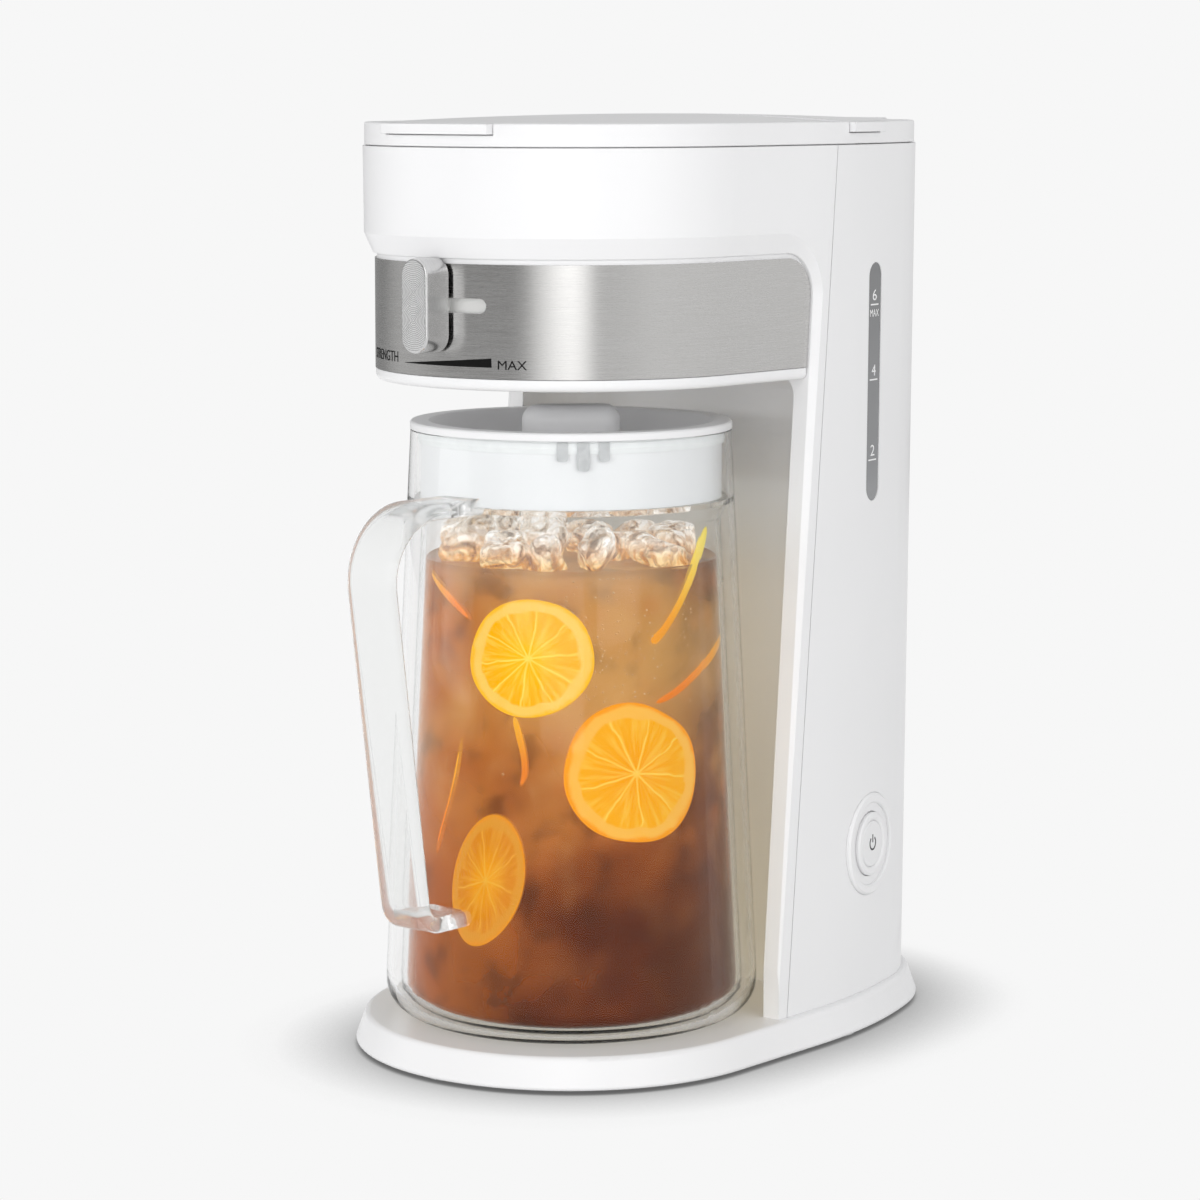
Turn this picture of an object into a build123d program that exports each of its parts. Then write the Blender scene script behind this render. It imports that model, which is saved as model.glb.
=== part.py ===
from build123d import *
import math
import os

# Iced tea maker: a tower with a water tank and a heater, a head with a brew chamber over a
# double-walled jug, and a flared foot. Millimetres, +Z up.
# Everything is drawn with the jug's axis as the Z axis and the underside of the base at z = 0,
# and moved to the row frame at the end.

# ---- Outline seen from above: half circle in front, straight sides, arcs round the back ----
side_straight = 50.0        # the sides run straight this far behind the jug's axis
head_half_width = 79.7
tower_side_radius = 260.0
tower_rear = 173.9
tower_draft = 2.9           # inset of the tower at its foot, against its top
base_step = 5.3             # the base's reach past the head, at its sides
base_rear_step = 4.1        # and past the tower, at the rear
base_side_radius = 230.0
base_flare = 4.4            # inset of the base's top edge, against its bottom edge
base_top_edge = 2.4
base_bottom_edge = 1.2
base_half_width = head_half_width + base_step
base_rear = tower_rear + base_rear_step

# ---- Heights above the underside of the base ----
foot_height = 1.5
foot_radius = 12.0
base_setback = 16.5         # the pads' middles, in from the base's edge
side_pad_y = 75.0
foot_chamfer = 0.6
base_height = 12.0
tower_top = 348.6
head_height = 88.6          # from the head's underside to the tower's top
band_rise = 4.0             # from the head's underside to the band
band_height = 42.0
chamfer_rise = 2.0          # from the band to the chamfer above it
chamfer_height = 7.7
collar_height = 8.9
crown = 2.8
head_bottom = tower_top - head_height
band_bottom = head_bottom + band_rise
band_top = band_bottom + band_height
chamfer_bottom = band_top + chamfer_rise
chamfer_top = chamfer_bottom + chamfer_height
collar_top = tower_top + collar_height

# ---- Walls and clearances ----
wall = 2.6                  # housings
thin_wall = 2.0             # tank and lids
joint_gap = 0.4             # shadow gap between two mouldings
free_gap = 0.4              # between pieces that move past each other
pin_clearance = 0.05        # radial, hinge pin in its barrel
hose_wall = 2.0

# ---- Columns beside the jug and the niche between them ----
column_foot = 33.6          # front edge of the columns, carried down to z = 0
column_lean = 0.077         # how far the edge goes back for each millimetre of height
edge_bevel = 2.4            # the edge's bevel, front to back
mouth_outer_radius = 24.5
mouth_inner_radius = 16.0
seam_setback = 4.3          # the housings' joint, behind the columns' front edge
column_width = 10.5         # from the head's side to the niche
niche_half_width = head_half_width - column_width
niche_rear = 80.0
niche_corner = 20.0
niche_ceiling_radius = 8.0

# ---- Steel band, its slot and the strength selector ----
band_setback = 4.4          # from the head's side to the band's outside
band_radius = head_half_width - band_setback
band_thickness = 0.7
band_fit = 0.1
band_corner = 14.0
chamfer_setback = 3.7
chamfer_radius = head_half_width - chamfer_setback
trim_height = 4.4
trim_depth = 3.1
slot_rise = 26.7
slot_z = band_bottom + slot_rise
slot_height = 5.5
slot_half_angle = 16.4
knob_width = 13.0
knob_height = 35.0
knob_depth = 12.0
knob_gap = 1.2              # between the band and the back of the knob
stem_width = 5.0
gate_half_angle = 31.0
gate_height = 16.0
gate_plate = 1.8
gate_rib = 3.0
gate_rib_height = 8.0
stem_reach = 4.5            # the stem's reach into the knob's back, past the band
bypass_ports = 3
bypass_radius = 3.0
bypass_step = 8.0           # degrees between ports

# ---- Top collar, lids and their hinges ----
collar_inset = 0.6
collar_wall = 2.2
deck_thickness = 2.5
tab_reach = 2.9
tab_height = 4.0
front_tab_half_width = 26.5
side_tab_front = 73.8
side_tab_length = 24.0
front_hinge_y = 66.0
rear_hinge_y = 160.0
hinge_drop = 2.2            # the hinges' axes below the collar's top
hinge_z = collar_top - hinge_drop
barrel_radius = 3.0
pin_radius = 1.25
front_barrel_length = 100.0
rear_barrel_length = 56.0
ear_thickness = 3.0
divider_thickness = 4.0
swing_gap = 0.4             # extra room round the tank's lid, whose rear corners swing back

# ---- Brew chamber, basket, filter and spray dish ----
chamber_radius = head_half_width - 16.7
chamber_wall = 2.4
ledge_drop = 23.6           # the basket's ledge below the tower's top
ledge_z = tower_top - ledge_drop
ledge_depth = 2.4
drain_radius = 7.0
basket_top_radius = chamber_radius - 5.5
basket_bottom_radius = chamber_radius - 13.0
basket_rise = 12.0
basket_bottom = head_bottom + basket_rise
basket_rim = 2.5
filter_height = 26.0
filter_wall = 1.0
spray_radius = 28.0
spray_drop = 13.1
spray_height = 6.0
spray_floor = 1.6
channel_half = 7.0          # half width of the dish's channel
spray_z = tower_top - spray_drop
post_place = 17.0           # the dish's four posts, from the middle along X and Y
post_radius = 2.5

# ---- Water path in the tower ----
tank_bottom = 193.0
tank_front = 86.0
tank_fit = 0.5
pipe_y = 96.0
inlet_x = -46.0
heater_top = 125.0
heater_radius = 8.0
heater_depth = 52.0         # straight length of each leg
bracket_sheet = 2.0
bracket_overhang = 5.0      # past the heater's legs
bracket_drop = 15.0
bracket_foot = 14.0
fuse_radius = 2.2
fuse_length = 12.0
nipple_radius = 4.2
nipple_bore = 3.0
nipple_length = 12.0
valve_radius = 7.0
valve_length = 20.0
spout_drop = 8.6
spout_z = tower_top - spout_drop
spout_bend = 8.0
spout_end = 61.4
spout_gap = 2.0             # from the spout to the dish's channel

# ---- Level window, power button and cord gland ----
window_y = 95.0
window_low = 209.0
window_drop = 46.1
window_high = tower_top - window_drop
window_width = 10.7
button_y = 98.0
button_z = 71.0
bezel_radius = 20.5
recess_radius = 16.5
cap_radius = 12.7
cap_depth = 8.0             # the cap's skirt and stem end this far inside the tower's skin
lens_radius = 9.25
button_travel = 2.5
board_depth = 15.0          # front of the switch's board
board_thickness = 1.6
switch_side = 12.0
switch_body = 3.0
plunger_radius = 3.0
gland_z = 32.0
gland_radius = 6.0
gland_bore = 3.4

# ---- Jug ----
jug_head_gap = 20.2         # from the jug's rim to the head
jug_rim_z = head_bottom - jug_head_gap
jug_rim_radius = 62.0
jug_belly_z = 28.0
jug_belly_radius = 72.5
jug_corner = 12.0
jug_wall = 2.4
jug_clearance = 0.3
liner_inset = 7.8           # inside of the liner, against the outside of the jug
liner_wall = 2.0
liner_drop = 33.8
liner_top = jug_rim_z - liner_drop
shoulder_height = 6.0
handle_reach = 118.0        # where the handle's outer faces would meet at its upper corner
handle_foot_reach = 96.4
handle_drop = 24.8
handle_top_z = jug_rim_z - handle_drop
handle_foot_z = 60.0
handle_width = 22.0
handle_thickness = 6.0
handle_corner = 25.0
handle_foot_corner = 9.0
lid_flange_radius = jug_rim_radius + 0.2
lid_flange = 3.0
skirt_gap = 1.4             # between the lid's skirt and the jug's wall at the rim
skirt_radius = jug_rim_radius - jug_wall - skirt_gap
skirt_height = 25.8
skirt_bottom = jug_rim_z - skirt_height
skirt_wall = 1.8
bowl_inset = 8.0
bowl_radius = jug_rim_radius - bowl_inset
bowl_depth = 8.8
bowl_floor = jug_rim_z - bowl_depth
grip_length = 38.0
grip_width = 17.0
grip_rise = 9.2
grip_top = jug_rim_z + grip_rise
grip_angle = 45.0           # how the lid's grip lies, from the front towards +X
seal_height = 4.0

# ---- Fasteners ----
screw_radius = 1.5
screw_head_radius = 3.0
screw_head_height = 1.6
boss_radius = 4.0
boss_inset = 3.0            # from the tower's inner skin to a boss's middle
boss_height = 16.0
screw_bite = 12.0           # how far the screws reach into the bosses
tower_screw_rows = (116.0, 150.0)

# ---- Worked out from the sizes above ----
tower_plan = (head_half_width, tower_side_radius, tower_rear)
base_plan = (base_half_width, base_side_radius, base_rear)
core_radius = band_radius - band_thickness - band_fit
deck_low = tower_top + joint_gap
deck_top = deck_low + deck_thickness
lid_low = deck_top + free_gap
lid_inset = collar_inset + collar_wall + free_gap
far = 800.0                 # larger than the machine, for cutting


# ---- Outlines and blocks ----
def outline(plan, inset=0.0, z=0.0):
    """Outline as a face at height z, with every edge moved inwards by inset."""
    half_width, side_radius, rear = plan
    side_x = half_width - side_radius
    spare = side_radius - rear
    rear_y = (side_x**2 + side_straight**2 - spare**2) / (2 * (spare + side_straight))
    turn = math.atan2(rear_y - side_straight, -side_x)
    edge = half_width - inset

    def side_point(side, angle):
        reach = side_radius - inset
        return (side * (side_x + reach * math.cos(angle)), side_straight + reach * math.sin(angle))

    edges = [
        ThreePointArc((edge, 0), (0, -edge), (-edge, 0)),
        Line((-edge, 0), (-edge, side_straight)),
        ThreePointArc((-edge, side_straight), side_point(-1, turn / 2), side_point(-1, turn)),
        ThreePointArc(side_point(-1, turn), (0, rear - inset), side_point(1, turn)),
        ThreePointArc(side_point(1, turn), side_point(1, turn / 2), (edge, side_straight)),
        Line((edge, side_straight), (edge, 0)),
    ]
    return Pos(0, 0, z) * make_face(edges)


def skin_x(y, inset, plan=tower_plan):
    """Half width of the outline at a place along the machine."""
    half_width, side_radius, rear = plan
    if y <= side_straight:
        return half_width - inset
    side_x = half_width - side_radius
    spare = side_radius - rear
    rear_y = (side_x**2 + side_straight**2 - spare**2) / (2 * (spare + side_straight))
    turn = math.atan2(rear_y - side_straight, -side_x)
    reach = side_radius - inset
    if y < side_straight + reach * math.sin(turn):
        return side_x + math.sqrt(reach**2 - (y - side_straight) ** 2)
    return math.sqrt((rear - rear_y - inset) ** 2 - (y - rear_y) ** 2)


def draft_at(z):
    """Inset of the tower's skin at height z."""
    return tower_draft * (tower_top - z) / (tower_top - base_height)


def tower(inset, low, high):
    """The drafted tower, filled, between two heights."""
    return loft([outline(tower_plan, inset + draft_at(z), z) for z in (low, high)], ruled=True)


def drum(inset, low, high, plan=tower_plan):
    """The outline as a straight-sided block."""
    return extrude(outline(plan, inset, low), high - low)


def block(x, y, z):
    """A box from its (low, high) limits along each axis."""
    return Pos(sum(x) / 2, sum(y) / 2, sum(z) / 2) * Box(x[1] - x[0], y[1] - y[0], z[1] - z[0])


def tube(x, y, low, high, outer, bore=0.0):
    """An upright tube, or a rod where bore is 0."""
    solid = Pos(x, y, (low + high) / 2) * Cylinder(outer, high - low)
    if bore:
        solid -= Pos(x, y, (low + high) / 2) * Cylinder(bore, high - low + 2)
    return solid


def turned(points):
    """A solid turned about the Z axis from a closed profile of (radius, z) points."""
    return revolve(Plane.XZ * make_face(Polyline(*points, close=True)), Axis.Z)


def side_slab(points):
    """A slab across the machine from a closed profile of (y, z) points."""
    return extrude(Plane.YZ * make_face(Polyline(*points, close=True)), far / 2, both=True)


def edge_y(z):
    """Front edge of the columns at height z."""
    return column_foot + column_lean * z


def seam_y(z):
    """Joint between the front and rear housings at height z."""
    return edge_y(z) + seam_setback


def before_seam(offset):
    """Everything in front of the joint, moved back by offset."""
    low, high = -far / 8, far
    return side_slab([(-far, low), (seam_y(low) + offset, low), (seam_y(high) + offset, high), (-far, high)])


def behind_seam(offset):
    """Everything behind the joint, moved back by offset."""
    low, high = -far / 8, far
    return side_slab([(far, low), (seam_y(low) + offset, low), (seam_y(high) + offset, high), (far, high)])


def mouth_face(x, setback, top, radius):
    """The open front seen from the side, as a face at x, with its upper rear corner rounded."""
    low = -far / 8
    corner = (edge_y(top) + setback, top)
    points = [(-far / 2, low), (edge_y(low) + setback, low), corner, (-far / 2, top)]
    face = Plane.YZ.offset(x) * make_face(Polyline(*points, close=True))
    rounded = face.vertices().sort_by_distance((x, corner[0], corner[1]))[0]
    return fillet(rounded, radius)


def mouth(skin):
    """Space in front of the columns and below the head, with bevelled sides, grown by skin."""
    outer_x = head_half_width - draft_at(chamfer_top) - skin
    inner_x = chamfer_radius - skin
    wide = (skin, chamfer_top + skin, mouth_outer_radius + skin)
    narrow = (skin - edge_bevel, chamfer_bottom + skin, mouth_inner_radius + skin)
    space = extrude(mouth_face(-inner_x, *narrow), 2 * inner_x)
    for side in (1, -1):
        space += loft([mouth_face(side * inner_x, *narrow), mouth_face(side * outer_x, *wide)], ruled=True)
        space += extrude(mouth_face(side * outer_x, *wide), side * (far / 8))
    return space


def niche(skin):
    """The niche for the jug, grown by skin."""
    half = niche_half_width + skin
    rear = niche_rear + skin
    top = head_bottom + skin
    space = block((-half, half), (-far / 2, rear), (-far / 8, top))
    corners = space.edges().filter_by(Axis.Z).group_by(Axis.Y)[-1]
    space = fillet(corners, niche_corner + skin)
    ceiling = [e for e in space.edges() if e.center().Z > top - 0.01 and e.center().Y > -far / 4]
    return fillet(ceiling, niche_ceiling_radius + skin)


def front_volume(skin):
    """What the front housing encloses, skin inside its outer faces."""
    over = 1.0 if skin else 0.0
    recess = head_half_width - core_radius
    step = recess + wall
    cone_inset = head_half_width - chamfer_radius
    head = tower(skin, chamfer_top, tower_top + over)
    cone = loft([outline(tower_plan, cone_inset + skin, chamfer_bottom),
                 outline(tower_plan, draft_at(chamfer_top) + skin, chamfer_top)], ruled=True)
    cone &= block((-far, far), (-far, edge_y(0)), (0, far))
    core = drum(recess + skin, band_bottom + skin, chamfer_top)
    core += drum(step + skin, head_bottom + skin, band_bottom + skin)
    core &= block((-far, far), (-far, seam_y(head_bottom)), (0, far))
    columns = tower(skin, base_height - over, chamfer_top) - mouth(skin)
    columns &= block((-far, far), (edge_y(0), far), (-far, far))
    return (head + cone + core + columns) - niche(skin)


# ---- Local frames on the tower's side ----
def side_frame(y, z):
    """Frame on the +X side of the tower: Z outwards, Y up."""
    radius = tower_side_radius - draft_at(z)
    angle = math.asin((y - side_straight) / radius)
    x = head_half_width - tower_side_radius + radius * math.cos(angle)
    outward = (math.cos(angle), math.sin(angle), 0)
    along = (-math.sin(angle), math.cos(angle), 0)
    return Plane(origin=(x, y, z), x_dir=along, z_dir=outward)


button_frame = side_frame(button_y, button_z)
window_frame = side_frame(window_y, (window_low + window_high) / 2)


def button_turned(points):
    """A solid turned about the button's axis from (radius, depth) points, depth inwards negative."""
    return button_frame * turned(points)


def window_shape(grow, low, high):
    """The window's stadium, grown by grow, as a block from depth low to high."""
    length = window_high - window_low + 2 * grow
    face = SlotOverall(length, window_width + 2 * grow, rotation=90)
    return window_frame * Pos(0, 0, low) * extrude(face, high - low)


# ---- Base ----
foot_places = [(0, base_setback - base_half_width), (base_half_width - base_setback, side_pad_y),
               (base_setback - base_half_width, side_pad_y), (0, base_rear - base_setback)]
base_screw_places = [(58, 10), (-58, 10), (42, 136), (-42, 136)]
tower_screw_places = [(side * (skin_x(y, draft_at(base_height) + wall) - boss_inset), y)
                      for y in tower_screw_rows for side in (1, -1)]
cover_low = 0.4
cover_high = 2.4
cover_inset = wall + joint_gap + base_flare * cover_high / base_height


def base_block(inset, low, high):
    """The flared base, filled, between two heights."""
    flare = [base_flare * z / base_height for z in (low, high)]
    return loft([outline(base_plan, inset + flare[0], low), outline(base_plan, inset + flare[1], high)], ruled=True)


def base_shell():
    shell = base_block(0, 0, base_height)
    shell = fillet(shell.edges().group_by(Axis.Z)[-1], base_top_edge)
    shell = fillet(shell.edges().group_by(Axis.Z)[0], base_bottom_edge)
    shell -= base_block(wall, -1, base_height - wall)
    for x, y in base_screw_places:
        shell += tube(x, y, cover_high, base_height - wall, boss_radius, screw_radius)
    for x, y in tower_screw_places:
        shell -= tube(x, y, 0, base_height + 1, screw_radius)
    return shell - tube(0, 128, 0, base_height + 1, 14.0)


def base_cover():
    cover = drum(cover_inset, cover_low, cover_high, base_plan)
    for x, y in base_screw_places:
        cover -= tube(x, y, 0, cover_high + 1, screw_radius)
        cover -= tube(x, y, 0, cover_low + screw_head_height / 2, screw_head_radius)
    return cover


def rubber_feet():
    pads = []
    for x, y in foot_places:
        pad = tube(x, y, -foot_height, cover_low, foot_radius)
        pads.append(chamfer(pad.edges().group_by(Axis.Z)[0], foot_chamfer))
    return pads


def screw(x, y, head_z, length):
    """A screw put in from below: its head's top at head_z, its shank above."""
    head = tube(x, y, head_z - screw_head_height, head_z, screw_head_radius)
    head -= Pos(x, y, head_z - screw_head_height) * (Box(3.6, 0.7, 1.2) + Box(0.7, 3.6, 1.2))
    return head + tube(x, y, head_z, head_z + length, screw_radius)


def base_screws():
    seat = cover_low + screw_head_height / 2
    return [screw(x, y, seat, base_height - wall - seat) for x, y in base_screw_places]


def tower_screws():
    return [screw(x, y, base_height - wall, wall + screw_bite) for x, y in tower_screw_places]


# ---- Housings ----
def slot_cutter(grow=0.0):
    """The curved slot for the selector's stem, cut through band and drum."""
    half = slot_height / 2 + grow
    reach = band_radius + 10
    ring = turned([(core_radius - 10, slot_z - half), (reach, slot_z - half),
                   (reach, slot_z + half), (core_radius - 10, slot_z + half)])
    end_angle = slot_half_angle - math.degrees(slot_height / 2 / band_radius)
    wedge_x = far * math.tan(math.radians(end_angle))
    wedge = make_face(Polyline((0, 0), (wedge_x, -far), (-wedge_x, -far), close=True))
    cutter = ring & extrude(Pos(0, 0, slot_z - slot_height) * wedge, 2 * slot_height)
    for side in (1, -1):
        end = Rot(0, 0, side * end_angle) * Pos(0, -core_radius, slot_z) * Rot(90, 0, 0)
        cutter += end * Cylinder(half, far / 10)
    return cutter


def front_housing():
    shell = front_volume(0) - front_volume(wall)
    liner = block((-niche_half_width - wall - 0.01, niche_half_width + wall + 0.01),
                  (-far, niche_rear + wall + 0.01), (-far / 8, head_bottom + wall))
    shell &= before_seam(-joint_gap / 2) + liner
    tongue = tower(wall, base_height, deck_low - 6) - tower(wall + 1.4, base_height - 1, deck_low)
    tongue &= before_seam(5) & behind_seam(-5)
    drain = tube(0, 0, head_bottom - 1, head_bottom + wall + 1, drain_radius + chamber_wall + joint_gap)
    return shell + tongue - drain - slot_cutter()


def rear_housing():
    shell = tower(0, base_height, tower_top) - tower(wall, base_height - 1, tower_top + 1)
    shell &= behind_seam(joint_gap / 2)
    for x, y in tower_screw_places:
        boss = tube(x, y, base_height, base_height + boss_height, boss_radius)
        shell += boss & tower(0, base_height, tower_top)
        shell -= tube(x, y, base_height - 1, base_height + screw_bite, screw_radius)
    shell -= window_shape(band_fit, -10, 10)
    shell -= button_turned([(0, -1.2), (bezel_radius + 0.1, -1.2), (bezel_radius + 0.1, 9), (0, 9)])
    shell -= button_turned([(0, -20), (cap_radius + 2.4, -20), (cap_radius + 2.4, 9), (0, 9)])
    shell -= gland_block(gland_radius, -12, 12) + gland_block(gland_radius + 4.1, -0.8, 12)
    return shell


def gland_block(radius, low, high):
    """A round block about the gland's axis, depth measured outwards from the tower's rear."""
    rear = tower_rear - draft_at(gland_z)
    return Pos(0, rear + (low + high) / 2, gland_z) * Rot(90, 0, 0) * Cylinder(radius, high - low)


def cord_gland():
    gland = gland_block(gland_radius, -6.5, 0) + gland_block(gland_radius + 4, -0.8, 2.0)
    gland = gland + gland_block(gland_radius - 1, 2.0, 4.5) - gland_block(gland_bore, -20, 20)
    return gland


# ---- Band and trim ----
def band_window():
    """The band's outline from the side, its upper rear corner rounded."""
    end = 3.0
    corner = (edge_y(band_top) - end, band_top)
    points = [(-far / 2, band_bottom), (edge_y(band_bottom) - end, band_bottom), corner, (-far / 2, band_top)]
    face = Plane.YZ * make_face(Polyline(*points, close=True))
    rounded = face.vertices().sort_by_distance((0, *corner))[0]
    return extrude(fillet(rounded, band_corner), far / 2, both=True)


def steel_band():
    inset = head_half_width - band_radius
    ring = drum(inset, band_bottom, band_top) - drum(inset + band_thickness, band_bottom - 1, band_top + 1)
    return (ring & band_window()) - slot_cutter()


def band_trim():
    inset = head_half_width - band_radius + 0.2
    low = band_bottom - 0.2 - trim_height
    lip = drum(inset, low, band_bottom - 0.2)
    lip = fillet(lip.edges().group_by(Axis.Z)[0], 2.4)
    lip -= drum(inset + trim_depth, low - 1, band_bottom + 1)
    return lip & block((-far, far), (-far, edge_y(head_bottom) - edge_bevel - 0.3), (0, far))


# ---- Top collar and lids ----
def tab_block(grow):
    """Outer ends of the lids' pull tabs, grown by grow."""
    reach = drum(collar_inset - tab_reach - grow, collar_top - tab_height - grow, collar_top + grow)
    front = block((-front_tab_half_width - grow, front_tab_half_width + grow), (-far, 0), (0, far))
    sides = block((-far, far), (side_tab_front - grow, side_tab_front + side_tab_length + grow), (0, far))
    return reach & front, reach & sides


def hinge_ears(y, barrel_length):
    """Two ears on the deck that hold a hinge pin."""
    ears = Part()
    for side in (1, -1):
        inner = side * (barrel_length / 2 + free_gap)
        outer = side * (barrel_length / 2 + free_gap + ear_thickness)
        x = (min(inner, outer), max(inner, outer))
        ears += block(x, (y - barrel_radius, y + barrel_radius), (deck_low, hinge_z))
        ears += Pos(sum(x) / 2, y, hinge_z) * Rot(0, 90, 0) * Cylinder(barrel_radius, ear_thickness)
    return ears


def hinge_rod(y, radius, length):
    return Pos(0, y, hinge_z) * Rot(0, 90, 0) * Cylinder(radius, length)


def top_collar():
    inner = collar_inset + collar_wall
    collar = drum(collar_inset, deck_low, collar_top)
    collar = fillet(collar.edges().group_by(Axis.Z)[-1], 0.8)
    collar -= drum(inner, deck_top, collar_top + 1)
    lip = drum(wall + free_gap, deck_low - 5, deck_low) - drum(wall + free_gap + 1.4, deck_low - 6, deck_low + 1)
    collar += lip & block((-far, far), (-far, tank_front - 4), (0, far))
    divider_y = front_hinge_y + barrel_radius + free_gap
    divider = block((-far, far), (divider_y, divider_y + divider_thickness), (deck_low, collar_top))
    bridge = block((-far, far), (rear_hinge_y + barrel_radius + 1.5, far), (deck_low, collar_top))
    collar += drum(collar_inset + 1, deck_low, collar_top - 0.4) & (divider + bridge)
    collar += hinge_ears(front_hinge_y, front_barrel_length) + hinge_ears(rear_hinge_y, rear_barrel_length)
    collar -= tube(0, 0, 0, far, chamber_radius - chamber_wall)
    collar -= drum(wall + tank_fit + thin_wall + 4, deck_low - 1, deck_top + 1) & block(
        (-far, far), (tank_front + thin_wall + 3, rear_hinge_y - barrel_radius - 6), (0, far))
    for tab in tab_block(free_gap):
        collar -= tab
    collar -= hinge_rod(front_hinge_y, pin_radius, front_barrel_length + 20)
    return collar - hinge_rod(rear_hinge_y, pin_radius, rear_barrel_length + 20)


def hinge_pin(y, barrel_length):
    return hinge_rod(y, pin_radius, barrel_length + 2 * (free_gap + ear_thickness))


def dome(drop):
    """The lids' shallow crown as part of a large ellipsoid, lowered by drop."""
    height = 60.0
    middle = (tower_rear - head_half_width) / 2
    half_length = (tower_rear + head_half_width) / 2
    share = math.sqrt(1 - ((height - crown) / height) ** 2)
    ball = scale(Sphere(height), by=(head_half_width / share / height, half_length / share / height, 1))
    return Pos(0, middle, collar_top + crown - height - drop) * ball


def crowned_lid(front_y, rear_y, tab, hinge_y, barrel_length, inset=lid_inset):
    """A crowned, hollow lid between two places along the machine, with its tab and barrel."""
    span = block((-far, far), (front_y, rear_y), (0, far))
    lid = drum(inset, lid_low, collar_top + 10) & span & dome(0)
    hollow = drum(inset + thin_wall, lid_low - 1, collar_top + 10) & dome(thin_wall)
    lid -= hollow & block((-far, far), (front_y + thin_wall, rear_y - thin_wall), (0, far))
    lid += (tab - drum(lid_inset + 1, 0, far)) & block((-far, far), (-far, far), (0, collar_top - 0.2))
    lid += hinge_rod(hinge_y, barrel_radius, barrel_length)
    web = block((-barrel_length / 2, barrel_length / 2), (rear_y - 1, hinge_y), (hinge_z - 1.4, hinge_z + 1.4))
    return lid + web - hinge_rod(hinge_y, pin_radius + pin_clearance, barrel_length + 2)


def front_lid():
    rear = front_hinge_y - barrel_radius - free_gap
    lid = crowned_lid(-far, rear, tab_block(0)[0], front_hinge_y, front_barrel_length)
    for x in (-1, 1):
        for y in (-1, 1):
            post = tube(x * post_place, y * post_place, spray_z + spray_height, collar_top + crown, post_radius)
            lid += post & dome(thin_wall / 2)
    return lid


def tank_lid():
    front = front_hinge_y + barrel_radius + divider_thickness + 2 * free_gap
    rear = rear_hinge_y - barrel_radius - free_gap
    return crowned_lid(front, rear, tab_block(0)[1], rear_hinge_y, rear_barrel_length, lid_inset + swing_gap)


def spray_dish():
    """Round trough under the front lid, open at the rear, with a ring of holes."""
    top, floor = spray_z + spray_height, spray_z + spray_floor
    half = channel_half - spray_floor
    dish = tube(0, 0, spray_z, top, spray_radius)
    dish += block((-channel_half, channel_half), (0, spout_end - spout_gap), (spray_z, top))
    dish -= tube(0, 0, floor, top + 1, spray_radius - spray_floor)
    dish -= block((-half, half), (0, spout_end), (floor, top + 1))
    for x in (-1, 1):
        for y in (-1, 1):
            dish += tube(x * post_place, y * post_place, spray_z, top, post_radius + 0.7)
    holes = [tube(radius * math.cos(k * math.pi / 6), radius * math.sin(k * math.pi / 6),
                  spray_z - 1, spray_z + 3, 1.2) for radius in (8.0, 16.0) for k in range(12)]
    return dish - holes


# ---- Brew chamber ----
def brew_chamber():
    low = head_bottom + wall
    inside = chamber_radius - chamber_wall
    drain = drain_radius + chamber_wall
    cup = turned([(drain_radius, head_bottom - 2), (drain, head_bottom - 2), (drain, low), (chamber_radius, low),
                  (chamber_radius, deck_low), (inside, deck_low), (inside, ledge_z),
                  (inside - ledge_depth, ledge_z), (inside - ledge_depth, ledge_z - 2), (inside, ledge_z - 5),
                  (inside, low + chamber_wall + 3), (inside - 3, low + chamber_wall), (drain_radius, low + 1.2)])
    cup -= Pos(0, chamber_radius, spout_z) * Rot(90, 0, 0) * Cylinder(nipple_radius + 0.2, 20)
    for k in range(bypass_ports):
        angle = (k - (bypass_ports - 1) / 2) * bypass_step
        cup -= Rot(0, 0, angle) * Pos(0, -chamber_radius, slot_z) * Rot(90, 0, 0) * Cylinder(bypass_radius, 20)
    return cup


def brew_basket():
    """Tapered cup with a rim that rests on the chamber's ledge, and holes in its floor."""
    low = basket_bottom
    rim_low = ledge_z + free_gap
    rim = chamber_radius - chamber_wall - free_gap
    cup = turned([(0, low), (basket_bottom_radius, low), (basket_top_radius, rim_low), (rim, rim_low),
                  (rim, rim_low + basket_rim), (basket_top_radius - thin_wall, rim_low + basket_rim),
                  (basket_bottom_radius - thin_wall, low + thin_wall), (0, low + thin_wall)])
    holes = [tube(radius * math.cos(k * math.pi / 6), radius * math.sin(k * math.pi / 6),
                  low - 1, low + thin_wall + 1, 1.5) for radius in (10.0, 22.0, 34.0) for k in range(12)]
    return cup - holes


def filter_screen():
    """Fine basket that stands in the brew basket, a cup with a thicker rim."""
    low = basket_bottom + thin_wall
    slope = (basket_top_radius - basket_bottom_radius) / (ledge_z + free_gap - basket_bottom)
    foot = basket_bottom_radius - thin_wall - 0.5
    head = foot + slope * filter_height
    top = low + filter_height
    return turned([(0, low), (foot, low), (head, top), (head - 2.4, top), (head - 2.4, top - 2),
                   (foot - filter_wall, low + filter_wall), (0, low + filter_wall)])


# ---- Strength selector ----
def arc_plate(outer, thickness, half_angle, height):
    """Upright plate bent round the jug's axis, centred on the slot."""
    low, high = slot_z - height / 2, slot_z + height / 2
    ring = turned([(outer - thickness, low), (outer, low), (outer, high), (outer - thickness, high)])
    edge = far * math.tan(math.radians(half_angle))
    wedge = make_face(Polyline((0, 0), (edge, -far), (-edge, -far), close=True))
    return ring & extrude(Pos(0, 0, low - 1) * wedge, height + 2)


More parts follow.
